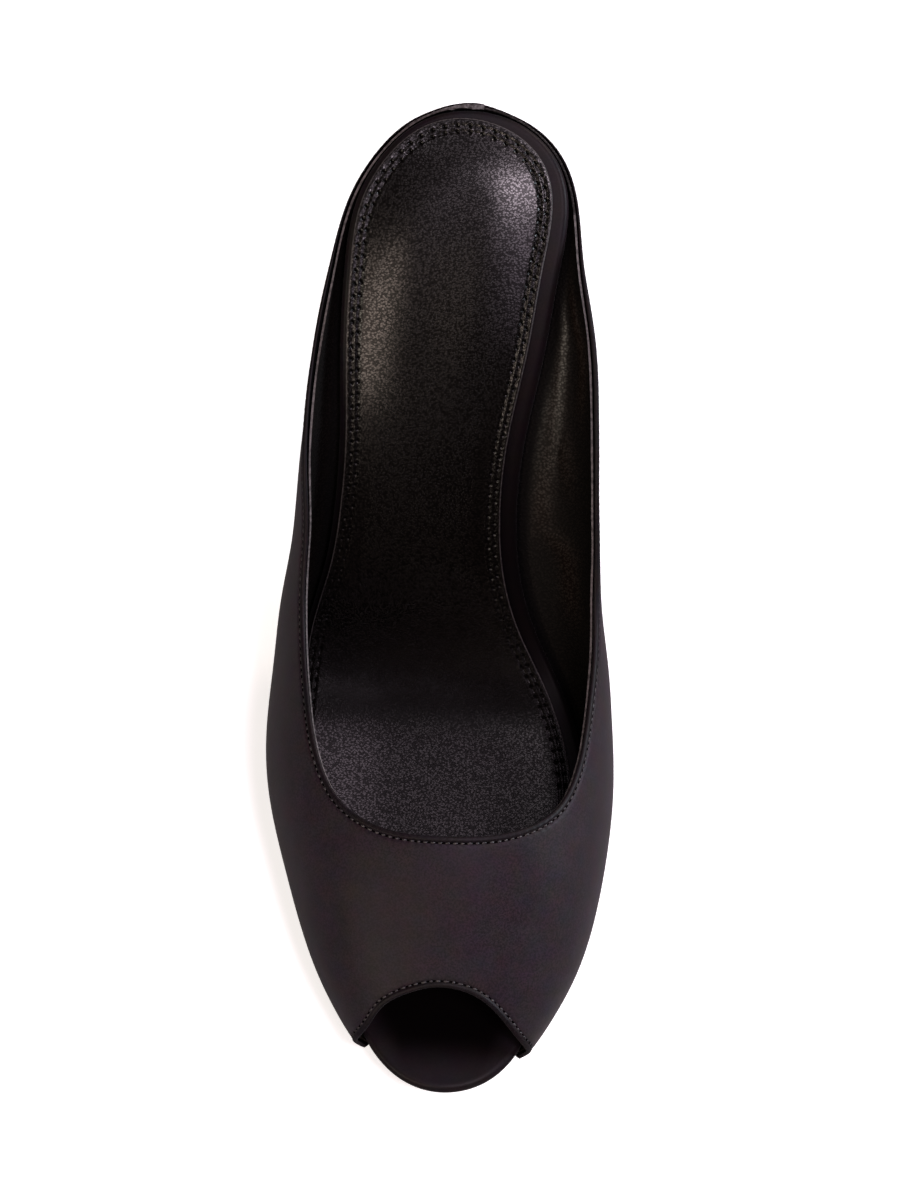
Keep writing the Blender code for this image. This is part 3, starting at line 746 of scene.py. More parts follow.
def measure(line, points):
    """Distance from each point to a dense line, and how far along the line the nearest place is."""
    places, running = line
    tree = KDTree(len(places))
    for index, place in enumerate(places):
        tree.insert(place, index)
    tree.balance()
    found = [tree.find(point) for point in points.reshape(-1, 3)]
    distance = np.array([hit[2] for hit in found]).reshape(points.shape[:-1])
    nearest = np.array([hit[1] for hit in found]).reshape(points.shape[:-1])
    return distance, running[nearest]


topline_edge = dense(np.concatenate([wall[:, -1], wall[:1, -1]]))
peep_edge = dense(wall[on_peep, 0])
from_topline, along_topline = measure(topline_edge, wall)
from_peep, along_peep = measure(peep_edge, wall)
print(f"topline {topline_edge[1][-1] / MM:.0f} mm round, peep arch {peep_edge[1][-1] / MM:.0f} mm")

# %% [markdown]
# ## The satin
# Satin frays, so a maker folds its edge over and stitches it down about a millimetre in. The fold makes a
# plump rim, the stitches pull a groove, and the cloth puckers a little between them. All of that is added
# to the wall's outer face as a height that depends on the distance from the edge. Soft waves stand for the
# way cloth lies over its backing. The roll of the fold gets a darker satin, and on the outer side the inside
# of the fold gets the nearly black finish as painted shade.

# %% Relief of the folded edge
SATIN_INSIDE = 0.80 * MM     # where the satin starts, counted from the wall's inner face
SATIN_OUTSIDE = WALL + 0.5 * MM   # with the soft backing that makes the fold plump
THIN_AT_HEEL = 0.75 * MM     # the backing runs out towards the heel back
THIN_OVER = (0.74, 0.90)     # the ribs between which it does
STITCH_LINE = 0.95 * MM      # from the edge
FOLD_PLUMP = 0.18 * MM
FOLD_CREST = (0.3 * STITCH_LINE, 0.6 * STITCH_LINE)   # where the plump rim is highest, and its reach
STITCH_PITCH = 1.75 * MM
GROOVE_DEPTH = 0.34 * MM
GROOVE_WIDTH = 0.36 * MM
PUCKER = 0.07 * MM
PUCKER_REACH = 0.8 * STITCH_LINE   # to either side of the stitches
WAVE_DEPTH = 0.22 * MM
WAVE_SIZE = 24 * MM
HEEL_TUCK = 0.4 * MM         # the satin is drawn in on both sides of the back seam
TUCK_AT = (0.965, 0.022)     # the rib where it is drawn in most, and the reach in ribs


def folded(distance, running):
    """Height that a folded and stitched edge adds to the satin."""
    pucker = np.cos(2 * math.pi * running / STITCH_PITCH) * hill(distance, STITCH_LINE, PUCKER_REACH)
    fold = FOLD_PLUMP * hill(distance, *FOLD_CREST)
    groove = GROOVE_DEPTH * hill(distance, STITCH_LINE, GROOVE_WIDTH)
    return fold - groove + PUCKER * pucker


def waves(points, size, depth):
    """Slow unevenness of cloth."""
    flat = points.reshape(-1, 3) / size
    return depth * np.array([noise.noise(place) for place in flat]).reshape(points.shape[:-1])


def tucked(rib):
    """How far the satin is drawn in at a rib."""
    return HEEL_TUCK * hill(rib, *TUCK_AT)


tuck = tucked(ring)
satin_low = SATIN_INSIDE - tuck
satin_height = (SATIN_OUTSIDE - THIN_AT_HEEL * smooth_step(*THIN_OVER, ring) - tuck)[:, None]
satin_height = satin_height + folded(from_topline, along_topline) + folded(from_peep, along_peep)
satin_height = satin_height + waves(wall, WAVE_SIZE, WAVE_DEPTH)
satin_face = wall + facing * satin_height[..., None]

# %% Turning the satin's edges
FOLD_STEPS = 10
FOLD_BULGE = 1.15
MARGIN_START = 0.4           # share of the lasting margin's width at the ends of the peep arch
MARGIN_GROWS = 0.05          # share of the ribs over which it grows to its full width
CORNER = np.linspace(0, 1, FOLD_STEPS // 2)[:, None, None]


def turned_edge(edge, way, low, high):
    """Half-round fold over an edge of the wall, from its outer face to its inner face."""
    turn = np.linspace(0, math.pi, FOLD_STEPS + 2)[1:-1, None, None]
    radius = ((high - low) / 2)[:, None]
    middle = wall[:, edge] + facing[:, edge] * (low + high)[:, None] / 2
    return middle + radius * (np.cos(turn) * facing[:, edge] + FOLD_BULGE * np.sin(turn) * way)


def lasting_margin(low, high):
    """The wall's foot bent in under the insole, from its inner face round to its outer face."""
    grown = smooth_step(PEEP_RIBS, PEEP_RIBS + MARGIN_GROWS, ring)
    margin = LASTING_MARGIN * (MARGIN_START + (1 - MARGIN_START) * grown)
    under = np.empty((len(ring), 3))
    down = np.empty((len(ring), 3))
    for side in (LATERAL, MEDIAL):
        mine = ring_side == side
        x, along, _ = outline(side, ring_starts[mine, 0], margin[mine])
        under[mine] = bend(x, along, -MARGIN_GAP)
        slope = slope_at(along)
        down[mine] = np.stack([0 * slope, np.sin(slope), -np.cos(slope)], axis=-1)
    foot = wall[:, 0]
    corner = unit(facing[:, 0] * (1 - CORNER) + down * CORNER)
    inside = foot + corner * low
    outside = foot + corner[::-1] * high
    inside[-1] = under + down * low
    outside[0] = under + down * high
    return np.concatenate([inside, outside])


# %% Satin of the upper
BACK_STEP = 5                # the hidden inner face needs only every fifth point
ROLL_STEPS = 4               # steps from an edge over which the roll of the fold gets the darker satin
DARK_STEPS = 3               # last steps of the fold, which no light gets to on the outer side

topline_fold = turned_edge(-1, past_topline, satin_low, satin_height[:, -1])
peep_fold = turned_edge(0, past_start, satin_low, satin_height[:, 0])[::-1]
foot_turn = np.where(on_peep[None, :, None], peep_fold, lasting_margin(SATIN_INSIDE, WALL))
satin_back = (wall + facing * satin_low[:, None, None])[:, ::-BACK_STEP]
satin_loops = np.concatenate(
    [satin_face, topline_fold.transpose(1, 0, 2), satin_back, foot_turn.transpose(1, 0, 2)], axis=1,
)
satin_faces = grid_faces(*satin_loops.shape[:2], True, True)
satin_finishes = [upper_satin, deep_shade, rolled_satin]
fold_end = RIB_STEPS + FOLD_STEPS
back_end = fold_end + satin_back.shape[1] + 2
loop_steps = np.arange(satin_loops.shape[1])
dark_from = np.where(ring_side == LATERAL, fold_end - DARK_STEPS, fold_end)[:, None]
satin_worn = np.zeros(satin_loops.shape[:2], dtype=int)
satin_worn[:, RIB_STEPS - ROLL_STEPS:] = 2
satin_worn[(loop_steps >= dark_from) & (loop_steps < back_end)] = 1
satin_worn[~on_peep, back_end:] = 0
satin_worn[on_peep, :ROLL_STEPS] = 2
add_piece(
    "satin_upper", satin_loops, satin_faces, satin_finishes, ["upper"], satin_worn.ravel(),
)

# %% [markdown]
# ## The lining
# Inside the satin lies a leather lining, cut off just under the fold, so its pale cut edge shows as a thin
# line along most of the topline. On the inner side of the foot the wall bulges where the arch was, and the
# leather has gathered there in a few long soft folds. They are listed as ridges that follow the wall, and a
# vertex attribute paints shade into the hollows between them and low down near the insole.

# %% Lining
LINING_THICK = 0.45 * MM
LINING_RIDGES = (            # (rib, share of the rib's length) along the crest of each fold
    ((0.588, 0.206), (0.620, 0.212), (0.652, 0.261), (0.682, 0.292), (0.725, 0.281), (0.770, 0.258),
     (0.800, 0.114)),
    ((0.698, 0.719), (0.735, 0.764), (0.775, 0.613), (0.802, 0.511)),
    ((0.633, 0.500), (0.675, 0.404)),
    ((0.503, 0.413), (0.555, 0.457), (0.595, 0.207)),
)
RIDGE_ENDS = 0.03
RIDGE_WIDTH = 0.12           # share of a rib's length
RIDGE_HEIGHT = 0.4 * MM
CUT_EDGE_TO = 0.86           # on the inner side the cut edge shows up to this rib
LINING_WAVES = (9 * MM, 0.10 * MM)   # size and depth
FOOT_SHADE = (2.0 * MM, 6.0 * MM)   # from the insole's edge, over which the painted shade on the lining fades out
# strength of the painted shade at the lining's foot
FOOT_SHADE_STRENGTH = 0.95
HOLLOW_SHADE = 0.8            # painted shade between the folds

rib_share = np.array([chords(row) for row in wall])
rib_share = rib_share / rib_share[:, -1:]
on_medial = ring_side == MEDIAL
crests = np.zeros(wall.shape[:2])
for ridge in LINING_RIDGES:
    ribs, shares = np.array(ridge).T
    reach = smooth_step(ribs[0] - RIDGE_ENDS, ribs[0] + RIDGE_ENDS, ring)
    reach = reach * (1 - smooth_step(ribs[-1] - RIDGE_ENDS, ribs[-1] + RIDGE_ENDS, ring)) * on_medial
    crest = monotone(ribs, shares, np.clip(ring, ribs[0], ribs[-1]))
    crests = np.maximum(crests, reach[:, None] * hill(rib_share, crest[:, None], RIDGE_WIDTH))
lining_face = wall - facing * (RIDGE_HEIGHT * crests + waves(wall, *LINING_WAVES))[..., None]
lining_back = (wall + facing * LINING_THICK)[:, ::-BACK_STEP]
lining_loops = np.concatenate([lining_face, lining_back], axis=1)
lining_rows, lining_columns = lining_loops.shape[:2]
lining_worn = np.zeros((lining_rows, lining_columns), dtype=int)
lining_worn[(ring < CUT_EDGE_TO) | ~on_medial, RIB_STEPS] = 1
from_foot = np.linalg.norm(wall - wall[:, :1], axis=-1)
# painted shade: dark low down near the insole and in the hollows between the folds
lining_shade = FOOT_SHADE_STRENGTH * (1 - smooth_step(*FOOT_SHADE, from_foot))
lining_shade = np.maximum(lining_shade, HOLLOW_SHADE * (1 - crests)) * ~on_peep[:, None]
lining_shade = np.concatenate([lining_shade, np.zeros(lining_back.shape[:2])], axis=1)
add_piece(
    "lining", lining_loops, grid_faces(lining_rows, lining_columns, True, True),
    [lining_leather, cut_edge], worn=lining_worn.ravel(), marks={"shade": lining_shade},
)

# %% [markdown]
# ## Stitches
# A lockstitch shows as a row of short threads, each dipping into the cloth at its ends. A dashed texture
# would look painted on from the side, so each stitch is a small bent spindle of thread. They are all worked
# out at once as arrays and joined into one mesh for each row. On the satin each mark strays a little along
# the row, because a machine pulls cloth unevenly.

# %% Rows of stitches
STITCH_SHARE = 0.74          # of the pitch, the rest being the hole
THREAD_WIDTH = 0.48 * MM
THREAD_HEIGHT = 0.28 * MM
STITCH_RINGS = 9
STITCH_SIDES = 7


def line_at(ribs, distance, offset, steps):
    """Points and facings on the satin where the distance from an edge has one value."""
    index = np.arange(RIB_STEPS + 1)[steps]
    points = []
    normals = []
    for reach, face, way in zip(distance[ribs], satin_face[ribs], facing[ribs]):
        at = np.interp(offset, reach[steps], index)
        points.append([np.interp(at, np.arange(RIB_STEPS + 1), column) for column in face.T])
        normals.append([np.interp(at, np.arange(RIB_STEPS + 1), column) for column in way.T])
    return np.array(points), unit(np.array(normals))


def even_marks(points, pitch):
    """Places at an even pitch along a row of points, counted in points."""
    running = chords(points)
    lengths = np.linspace(0, running[-1], int(round(running[-1] / pitch)) + 1)
    return np.interp(lengths, running, np.arange(len(points)))


def read_line(line, at):
    """Places on a line of points, with the way up, ahead and across at each."""
    points, normals = line
    index = np.arange(len(points))
    ahead = np.gradient(points, axis=0)
    read = []
    for values in (points, normals, ahead):
        read.append(np.stack([np.interp(at, index, column) for column in values.T], axis=-1))
    up = unit(read[1])
    ahead = unit(read[2])
    return read[0], up, ahead, np.cross(ahead, up)


def stitch_row(name, line, marks, finish, sink, size=1.0):
    """Short threads between the marks on a line, as one mesh."""
    share = np.linspace(0, 1, STITCH_RINGS)
    at = marks[:-1, None] + np.diff(marks)[:, None] * (0.5 + (share - 0.5) * STITCH_SHARE)
    places, up, _, across = read_line(line, at)
    swell = np.sqrt(np.sin(math.pi * share))[None, :, None]
    core = places + up * THREAD_HEIGHT * size * (swell - sink)
    turn = np.linspace(0, 2 * math.pi, STITCH_SIDES, endpoint=False)[:, None, None, None]
    skin = (np.cos(turn) * across * THREAD_WIDTH + np.sin(turn) * up * THREAD_HEIGHT) * size / 2
    tubes = (core + swell * skin).transpose(1, 2, 0, 3)
    faces = []
    for stitch in range(len(at)):
        faces += grid_faces(STITCH_RINGS, STITCH_SIDES, False, True, stitch * STITCH_RINGS * STITCH_SIDES)
    return add_piece(name, tubes, faces, [finish])


# %% [markdown]
# ## Needle holes
# Between two stitches the needle leaves a hole, and on black cloth and leather those dark dots show more than
# the thread does. A hole could be cut with a Boolean, but hundreds of cuts are slow. Each one here is a
# small dark lens that lies in a dimple or a groove of the surface.

# %% Rows of needle holes
HOLE_SIDES = 10
HOLE_LONG = 1.2              # length along the row, for a width of 1
HOLE_DOME = 0.15             # rise and depth of a lens, in radii
HOLE_DEEP = 0.5


def hole_row(name, rows, radius, sink):
    """Small dark lenses at the marks on some lines, as one mesh."""
    turn = np.linspace(0, 2 * math.pi, HOLE_SIDES, endpoint=False)[:, None, None]
    lenses = []
    for line, marks in rows:
        places, up, ahead, across = read_line(line, marks)
        places = places - up * sink
        rim = places + radius * (HOLE_LONG * np.cos(turn) * ahead + np.sin(turn) * across)
        middles = np.stack([places + HOLE_DOME * radius * up, places - HOLE_DEEP * radius * up])
        lenses.append(np.concatenate([rim, middles]).transpose(1, 0, 2))
    lenses = np.concatenate(lenses)
    fan = [(side, (side + 1) % HOLE_SIDES) for side in range(HOLE_SIDES)]
    faces = []
    for first in range(0, lenses.shape[0] * lenses.shape[1], lenses.shape[1]):
        faces += [(first + a, first + b, first + HOLE_SIDES) for a, b in fan]
        faces += [(first + b, first + a, first + HOLE_SIDES + 1) for a, b in fan]
    return add_piece(name, lenses, faces, [deep_shade])


UPPER_HOLE = 0.42 * MM
UPPER_HOLE_SINK = -0.04 * MM   # less than nothing, so the lenses are not buried in the groove
UPPER_STITCH_SINK = 0.5      # of the thread's height
STITCH_STRAY = 0.16          # of the pitch, by which a stitch strays from an even row


def stray(marks):
    """The same marks, each moved a little along the row."""
    loose = np.random.default_rng(5).uniform(-STITCH_STRAY, STITCH_STRAY, len(marks))
    loose[[0, -1]] = 0
    return marks + loose * np.gradient(marks)


from_end = slice(None, RIB_STEPS // 3, -1)
from_start = slice(0, RIB_STEPS // 2)
topline_row = line_at(ring >= 0, from_topline, STITCH_LINE, from_end)
peep_row = line_at(on_peep, from_peep, STITCH_LINE, from_start)
topline_row = [np.concatenate([row, row[:1]]) for row in topline_row]
topline_marks = stray(even_marks(topline_row[0], STITCH_PITCH))
peep_marks = stray(even_marks(peep_row[0], STITCH_PITCH))
stitch_row("topline_stitches", topline_row, topline_marks, thread, UPPER_STITCH_SINK)
stitch_row("peep_stitches", peep_row, peep_marks, thread, UPPER_STITCH_SINK)
upper_rows = [(topline_row, topline_marks), (peep_row, peep_marks)]
hole_row("upper_holes", upper_rows, UPPER_HOLE, UPPER_HOLE_SINK)

# %% [markdown]
# ## The back seam
# The two quarters of the upper meet at the heel back. The outer quarter laps over the inner one and ends
# bluntly just past the middle, and its raw top edge shows as a pale band. It is a separate strip here,
# because a step in the satin's own grid could only be as sharp as the ribs are close.

# %% Lapped quarter
LAP_RIBS = 0.062             # reach of the lap on the outer side, as a share of the ribs
LAP_PAST = 0.012             # and past the middle
LAP_THICK = 0.20 * MM
LAP_PARED = 0.5              # share of its thickness where it starts, so that no step shows there
LAP_ROWS = 60
LAP_PAST_ROWS = 10

outer_ribs = np.linspace(1 - LAP_RIBS, 1, LAP_ROWS)
inner_ribs = np.linspace(1, 1 - LAP_PAST, LAP_PAST_ROWS)
outer_part, _ = wall_ribs(LATERAL, outer_ribs)
inner_part, _ = wall_ribs(MEDIAL, inner_ribs)
lap_tuck = tucked(np.concatenate([outer_ribs, inner_ribs[1:]]))
lap_wall = np.concatenate([outer_part, inner_part[1:]])[:, ::BACK_STEP // 2]
lap_ahead = np.gradient(lap_wall, axis=0)
lap_up = np.gradient(lap_wall, axis=1)
lap_facing = unit(np.cross(lap_ahead, lap_up))
lap_facing = lap_facing * np.sign(lap_facing[LAP_ROWS, -1, 1])
lap_past = unit(np.cross(lap_facing[:, -1], lap_ahead[:, -1]))
lap_past = lap_past * np.sign(lap_past[LAP_ROWS, 2])
lap_share = np.clip(np.arange(len(lap_wall)) / LAP_ROWS, 0, 1)
lap_high = SATIN_OUTSIDE - THIN_AT_HEEL + LAP_THICK * (LAP_PARED + (1 - LAP_PARED) * lap_share) - lap_tuck
lap_face = lap_wall + lap_facing * lap_high[:, None, None]
lap_back = (lap_wall + lap_facing * (SATIN_INSIDE - lap_tuck)[:, None, None])[:, ::-1]
print("the lap is", len(lap_wall), "ribs wide")

# %% Raw top of the lap
LAP_RISE = 0.40 * MM         # above the wall's edge
LAP_INSIDE = -0.35 * MM      # how far its end reaches in over the lining
LAP_RAGGED = 0.22 * MM       # depth of the ragged cut, and the sizes of its waves above and inside
LAP_RAG_ABOVE = 1.3 * MM
LAP_RAG_INSIDE = 1.7 * MM
LAP_CORNER = 0.06            # share of the top's width at which its first step lies
LAP_TOP_STEPS = 6

lap_rise = LAP_RISE * lap_share ** 2 + waves(lap_wall[:, -1], LAP_RAG_ABOVE, LAP_RAGGED) * lap_share
lap_rise = lap_past * lap_rise[:, None]
lap_inside = SATIN_INSIDE + (LAP_INSIDE - SATIN_INSIDE) * lap_share
elsewhere = lap_wall[:, -1] + 1   # a metre away, so that the inner cut waves in its own way
lap_inside = lap_inside + waves(elsewhere, LAP_RAG_INSIDE, 2 * LAP_RAGGED)
lap_top = []
for share in np.linspace(LAP_CORNER, 1, LAP_TOP_STEPS):
    depth = lap_high * (1 - share) + lap_inside * share
    lap_top.append(lap_wall[:, -1] + lap_rise + lap_facing[:, -1] * depth[:, None])
lap_loops = np.concatenate([lap_face, np.stack(lap_top, axis=1), lap_back], axis=1)
lap_worn = np.zeros(lap_loops.shape[:2], dtype=int)[:-1]
lap_edge = lap_face.shape[1]
lap_worn[:, lap_edge + 1:lap_edge + LAP_TOP_STEPS] = 1
add_piece(
    "lapped_quarter", lap_loops, grid_faces(*lap_loops.shape[:2], False, True),
    [upper_satin, raw_edge], worn=lap_worn.ravel(),
)

# %% [markdown]
# ## Sheets of the sole
# Insole, sock and outsole are sheets with a worked rim. Each is made flat first, as closed loops that run up
# one rim, over the top, down the other rim and back underneath, one loop for each place along the outline.
# Detail is added while the sheet is flat, where distances are easy, and then it is bent to the arch.

# %% Flat sheets
UNDER_STEPS = 6


def rim_profile(thick, lower, upper, band, steps=7):
    """Insets and heights from under a sheet, round its rim with two roundings, to a band on its top."""
    turn = np.linspace(0, math.pi / 2, steps)
    inset = np.concatenate([lower * (1 - np.sin(turn)), upper * (1 - np.cos(turn)), upper + band])
    top = thick - upper * (1 - np.sin(turn))
    return inset, np.concatenate([lower * (1 - np.cos(turn)), top, thick + 0 * band])


def upright(side, place):
    """How far a rim leans outwards for each metre of height when it stands upright on the sloping bottom."""
    _, along, outward = outline(side, place)
    return np.sin(slope_at(along)) * outward[..., 1]


def flat_sheet(places, edge, rim, across):
    """Loops of (x, along, height) round a sheet, and each point's distance in from the sheet's edge."""
    inset, height = rim
    flat = {}
    for side in (LATERAL, MEDIAL):
        lean = upright(side, places)[:, None] * height
        x, along, _ = outline(side, places[:, None], edge[side][:, None] + inset - lean)
        flat[side] = np.stack([x, along, np.broadcast_to(height, x.shape)], axis=-1)
    share = np.linspace(0, 1, across + 1)[1:-1, None]
    over = flat[LATERAL][:, -1:] * (1 - share) + flat[MEDIAL][:, -1:] * share
    share_back = np.linspace(0, 1, UNDER_STEPS + 1)[1:-1, None]
    under = flat[MEDIAL][:, :1] * (1 - share_back) + flat[LATERAL][:, :1] * share_back
    loops = np.concatenate([flat[LATERAL], over, flat[MEDIAL][:, ::-1], under], axis=1)
    width = np.abs(flat[MEDIAL][:, -1, 0] - flat[LATERAL][:, -1, 0])[:, None]
    middle = inset[-1] + np.minimum(share, 1 - share)[:, 0] * width
    rims = np.broadcast_to(inset, (len(places), len(inset)))
    inside = np.concatenate([rims, middle, rims[:, ::-1], np.zeros((len(places), UNDER_STEPS - 1))], axis=1)
    return loops, inside


def bent_piece(name, loops, finishes, node, worn=None, marks=None):
    """A flat sheet bent to the arch, as a piece that stands for its node."""
    points = bend(loops[..., 0], loops[..., 1], loops[..., 2])
    faces = grid_faces(*points.shape[:2], False, True)
    worn = None if worn is None else worn.ravel()
    return add_piece(name, points, faces, finishes, [node], worn, marks)


# %% [markdown]
# ## The wrapped insole
# The insole board is wrapped in satin that is pulled tight round its rim. In the open toe the wrap shows as
# a soft top and a rounded side. Little light gets in under the arch or down beside the shank, so a vertex
# attribute paints shade onto the satin there.

# %% Wrapped insole
INSOLE_ROWS = 460
INSOLE_ACROSS = 26
WRAP_LOWER = 0.9 * MM
WRAP_UPPER = 1.5 * MM
TOE_REACH = 0.7 * MM         # the wrap is thicker at the toe, where it is gathered
GATHERED_TO = 0.10           # outline position where it is thin again
WRAP_BAND = np.arange(0.3, 5.6, 0.35) * MM
UNDER_ARCH = (1.0 * MM, 8.0 * MM)   # from the edge, over which painted shade darkens the insole under the peep arch
FROM_TIP = (1.0 * MM, 13.0 * MM)    # and from the tip
UNDER_VAMP = (0.20, 0.30)    # stations between which it comes out into the light again
DARK_RIM = (0.52, 0.24)      # middle and reach of the stretch along the shank where shade is painted on the rim
# strength of the painted shade on that rim
RIM_SHADE = 0.85

insole_places = np.linspace(0, 1, INSOLE_ROWS + 1)
toe_reach = -TOE_REACH * (1 - smooth_step(0.0, GATHERED_TO, insole_places))
insole_edges = {side: toe_reach for side in (LATERAL, MEDIAL)}
insole_rim = rim_profile(INSOLE_THICK, WRAP_LOWER, WRAP_UPPER, WRAP_BAND)
insole_loops, insole_inside = flat_sheet(insole_places, insole_edges, insole_rim, INSOLE_ACROSS)
insole_shade = smooth_step(*FROM_TIP, insole_loops[..., 1] * SOLE_LENGTH)
insole_shade = np.minimum(insole_shade, smooth_step(*UNDER_ARCH, insole_inside))
insole_shade = insole_shade * (1 - smooth_step(*UNDER_VAMP, insole_loops[..., 1]))
insole_shade = np.maximum(insole_shade, RIM_SHADE * hill(insole_loops[..., 1], *DARK_RIM))
insole_marks = {"shade": insole_shade}
bent_piece("wrapped_insole", insole_loops, [wrap_satin], "insole", marks=insole_marks)

# %% [markdown]
# ## The sock
# The sock is the leather sheet that the foot rests on. Two rows of stitches run round its edge. The needle
# has left a hole at the end of every stitch, and foam under the leather makes it swell a little inside the
# rows. The holes are real dimples, so the sheet has a fine grid near its edge. One vertex attribute tells the
# leather where it is stretched smooth and where the grain stays deep, and another where it has no polish: the
# steep shank is dull, while the ball and the heel seat shine. The same attribute takes the polish off a strip
# along the inner edge at the ball, as painted shade from the inner wall.

# %% Needle holes of the sock
SOCK_ROWS = 1000
SOCK_ACROSS = 22
SOCK_BAND = np.concatenate([np.arange(0.3, 4.2, 0.22), [4.7, 5.4, 6.3]]) * MM
SOCK_RIM_STEPS = 4
SOCK_TURN = 0.86             # outline position where the inset starts to change towards the back
SOCK_LOW = INSOLE_THICK + GAP
STITCH_ROWS = (1.4 * MM, 2.85 * MM)
SOCK_PITCH = 2.95 * MM
STITCHED_TO = 0.31           # station where the rows run out under the upper
SOCK_HOLE = 0.30 * MM
DIMPLE_RADIUS = 0.42 * MM
DIMPLE_DEPTH = 0.26 * MM
DIMPLE_RIM = 0.07 * MM       # height of the ring that the needle has pushed up round a hole
DIMPLE_RING = (1.6 * DIMPLE_RADIUS, 0.5 * DIMPLE_RADIUS)   # where that ring is highest, and its reach
LINE_STEPS = 900

sock_front = float(place_of(SOCK_FRONT))


def sock_edge(side, place):
    """Inset of the sock's edge from the insole's edge."""
    at_back = np.clip((place - SOCK_TURN) / (1 - SOCK_TURN), 0, 1) ** 2
    inset = SOCK_INSET[side] + (SOCK_INSET_BACK - SOCK_INSET[side]) * at_back
    return inset - upright(side, place) * SOCK_LOW


def sock_line(side, inset, front):
    """Flat line at one distance from the sock's edge, from the heel back forwards."""
    place = np.linspace(1, float(place_of(front)), LINE_STEPS)
    x, along, _ = outline(side, place, sock_edge(side, place) + inset)
    return np.stack([x, along * SOLE_LENGTH, 0 * x], axis=-1)


sock_lines = [sock_line(side, inset, STITCHED_TO) for side in (LATERAL, MEDIAL) for inset in STITCH_ROWS]
sock_marks = [even_marks(line, SOCK_PITCH) for line in sock_lines]
needle_holes = np.concatenate([read_line((line, line), at)[0] for line, at in zip(sock_lines, sock_marks)])
print("needle holes in the sock:", len(needle_holes))

# %% Shape of the sock
SOCK_CROWN = table(          # rise of the middle, and how far in from the stitches it takes to get there
    "along rise reach",
    (0.16, -0.8, 20), (0.34, -1.0, 20), (0.44, -0.7, 20), (0.52, 0.0, 18), (0.62, 0.7, 15), (0.75, 1.15, 13),
    (1.00, 1.2, 13),
)
SEAM_SINK = 0.16 * MM
SEAM_WIDTH = 0.4 * MM
SOCK_LOWER = 0.12 * MM       # roundings of the sock's rim
SOCK_UPPER = 0.30 * MM
FOAM_WAVES = (16 * MM, 0.12 * MM)   # size and depth

sock_places = np.linspace(sock_front, 1, SOCK_ROWS + 1)
sock_edges = {side: sock_edge(side, sock_places) for side in (LATERAL, MEDIAL)}
sock_rim = rim_profile(SOCK_THICK, SOCK_LOWER, SOCK_UPPER, SOCK_BAND, SOCK_RIM_STEPS)
sock_loops, _ = flat_sheet(sock_places, sock_edges, sock_rim, SOCK_ACROSS)
on_top = sock_loops[..., 2] > SOCK_THICK / 2
laid_flat = sock_loops * (1, SOLE_LENGTH, 0)
whole_edge = [sock_line(LATERAL, 0.0, SOCK_FRONT)[::-1], sock_line(MEDIAL, 0.0, SOCK_FRONT)]
sock_inside, _ = measure(dense(np.concatenate(whole_edge)), laid_flat)
from_hole, _ = measure((needle_holes, np.zeros(len(needle_holes))), laid_flat)
dimples = DIMPLE_RIM * hill(from_hole, *DIMPLE_RING)
dimples = dimples - DIMPLE_DEPTH * hill(from_hole, 0, DIMPLE_RADIUS)
rows_sink = sum(hill(sock_inside, row, SEAM_WIDTH) for row in STITCH_ROWS)
crown = monotone(SOCK_CROWN["along"], SOCK_CROWN["rise"] * MM, sock_loops[..., 1])
crown_reach = monotone(SOCK_CROWN["along"], SOCK_CROWN["reach"] * MM, sock_loops[..., 1])
crown = crown * np.sin(math.pi / 2 * np.clip((sock_inside - STITCH_ROWS[1]) / crown_reach, 0, 1))
surface = crown - SEAM_SINK * rows_sink + waves(laid_flat, *FOAM_WAVES)
sock_loops[..., 2] += SOCK_LOW + np.where(on_top, surface + dimples, 0)
print(f"the sock swells by up to {surface.max() / MM:.1f} mm")

# %% Polish and grain of the sock
DULL_SHANK = table(          # share of the polish that the leather has lost, along the bottom
    "along lost",
    (0.16, 0.0), (0.33, 0.0), (0.352, 0.2), (0.372, 0.62), (0.392, 0.9), (0.415, 0.985), (0.45, 0.96),
    (0.49, 0.85), (0.54, 0.70), (0.60, 0.5), (0.66, 0.25), (0.74, 0.0), (1.00, 0.0),
)
EDGE_BAND = (3.6 * MM, 4.2 * MM)   # from the edge, where the stitched band ends
STRETCHED = (5 * MM, 9 * MM)       # from the edge, where the leather pulled smooth by the stitches ends
INNER_EDGE = (3 * MM, 6.5 * MM)    # from the edge on the inner side, where the strip in painted shade ends
BALL_END = (0.48, 0.58)            # stations between which the ball goes over into the shank
STRIP_SHADE = 0.75            # share of the polish taken off the inner strip at the ball, as painted shade from the inner wall
BAND_SHINE = 0.6             # share of that loss which the inner stitched band is spared behind the ball
BAND_GRAIN = 0.4             # shares of the grain's depth: lost in the stitched band,
SMOOTH_GRAIN = 0.75          # lost where the leather is pulled smooth,
BALL_GRAIN = 0.9             # gained at the ball
DULL_GRAIN = 0.35            # and lost with the polish

edge_band = 1 - smooth_step(*EDGE_BAND, sock_inside)
stretched = (1 - edge_band) * (1 - smooth_step(*STRETCHED, sock_inside))
dull = monotone(DULL_SHANK["along"], DULL_SHANK["lost"], sock_loops[..., 1])
inner_edge = (sock_loops[..., 0] > 0) * (1 - smooth_step(*INNER_EDGE, sock_inside))
at_ball = 1 - smooth_step(*BALL_END, sock_loops[..., 1])
dull = dull * (1 - BAND_SHINE * edge_band * inner_edge * (1 - at_ball))
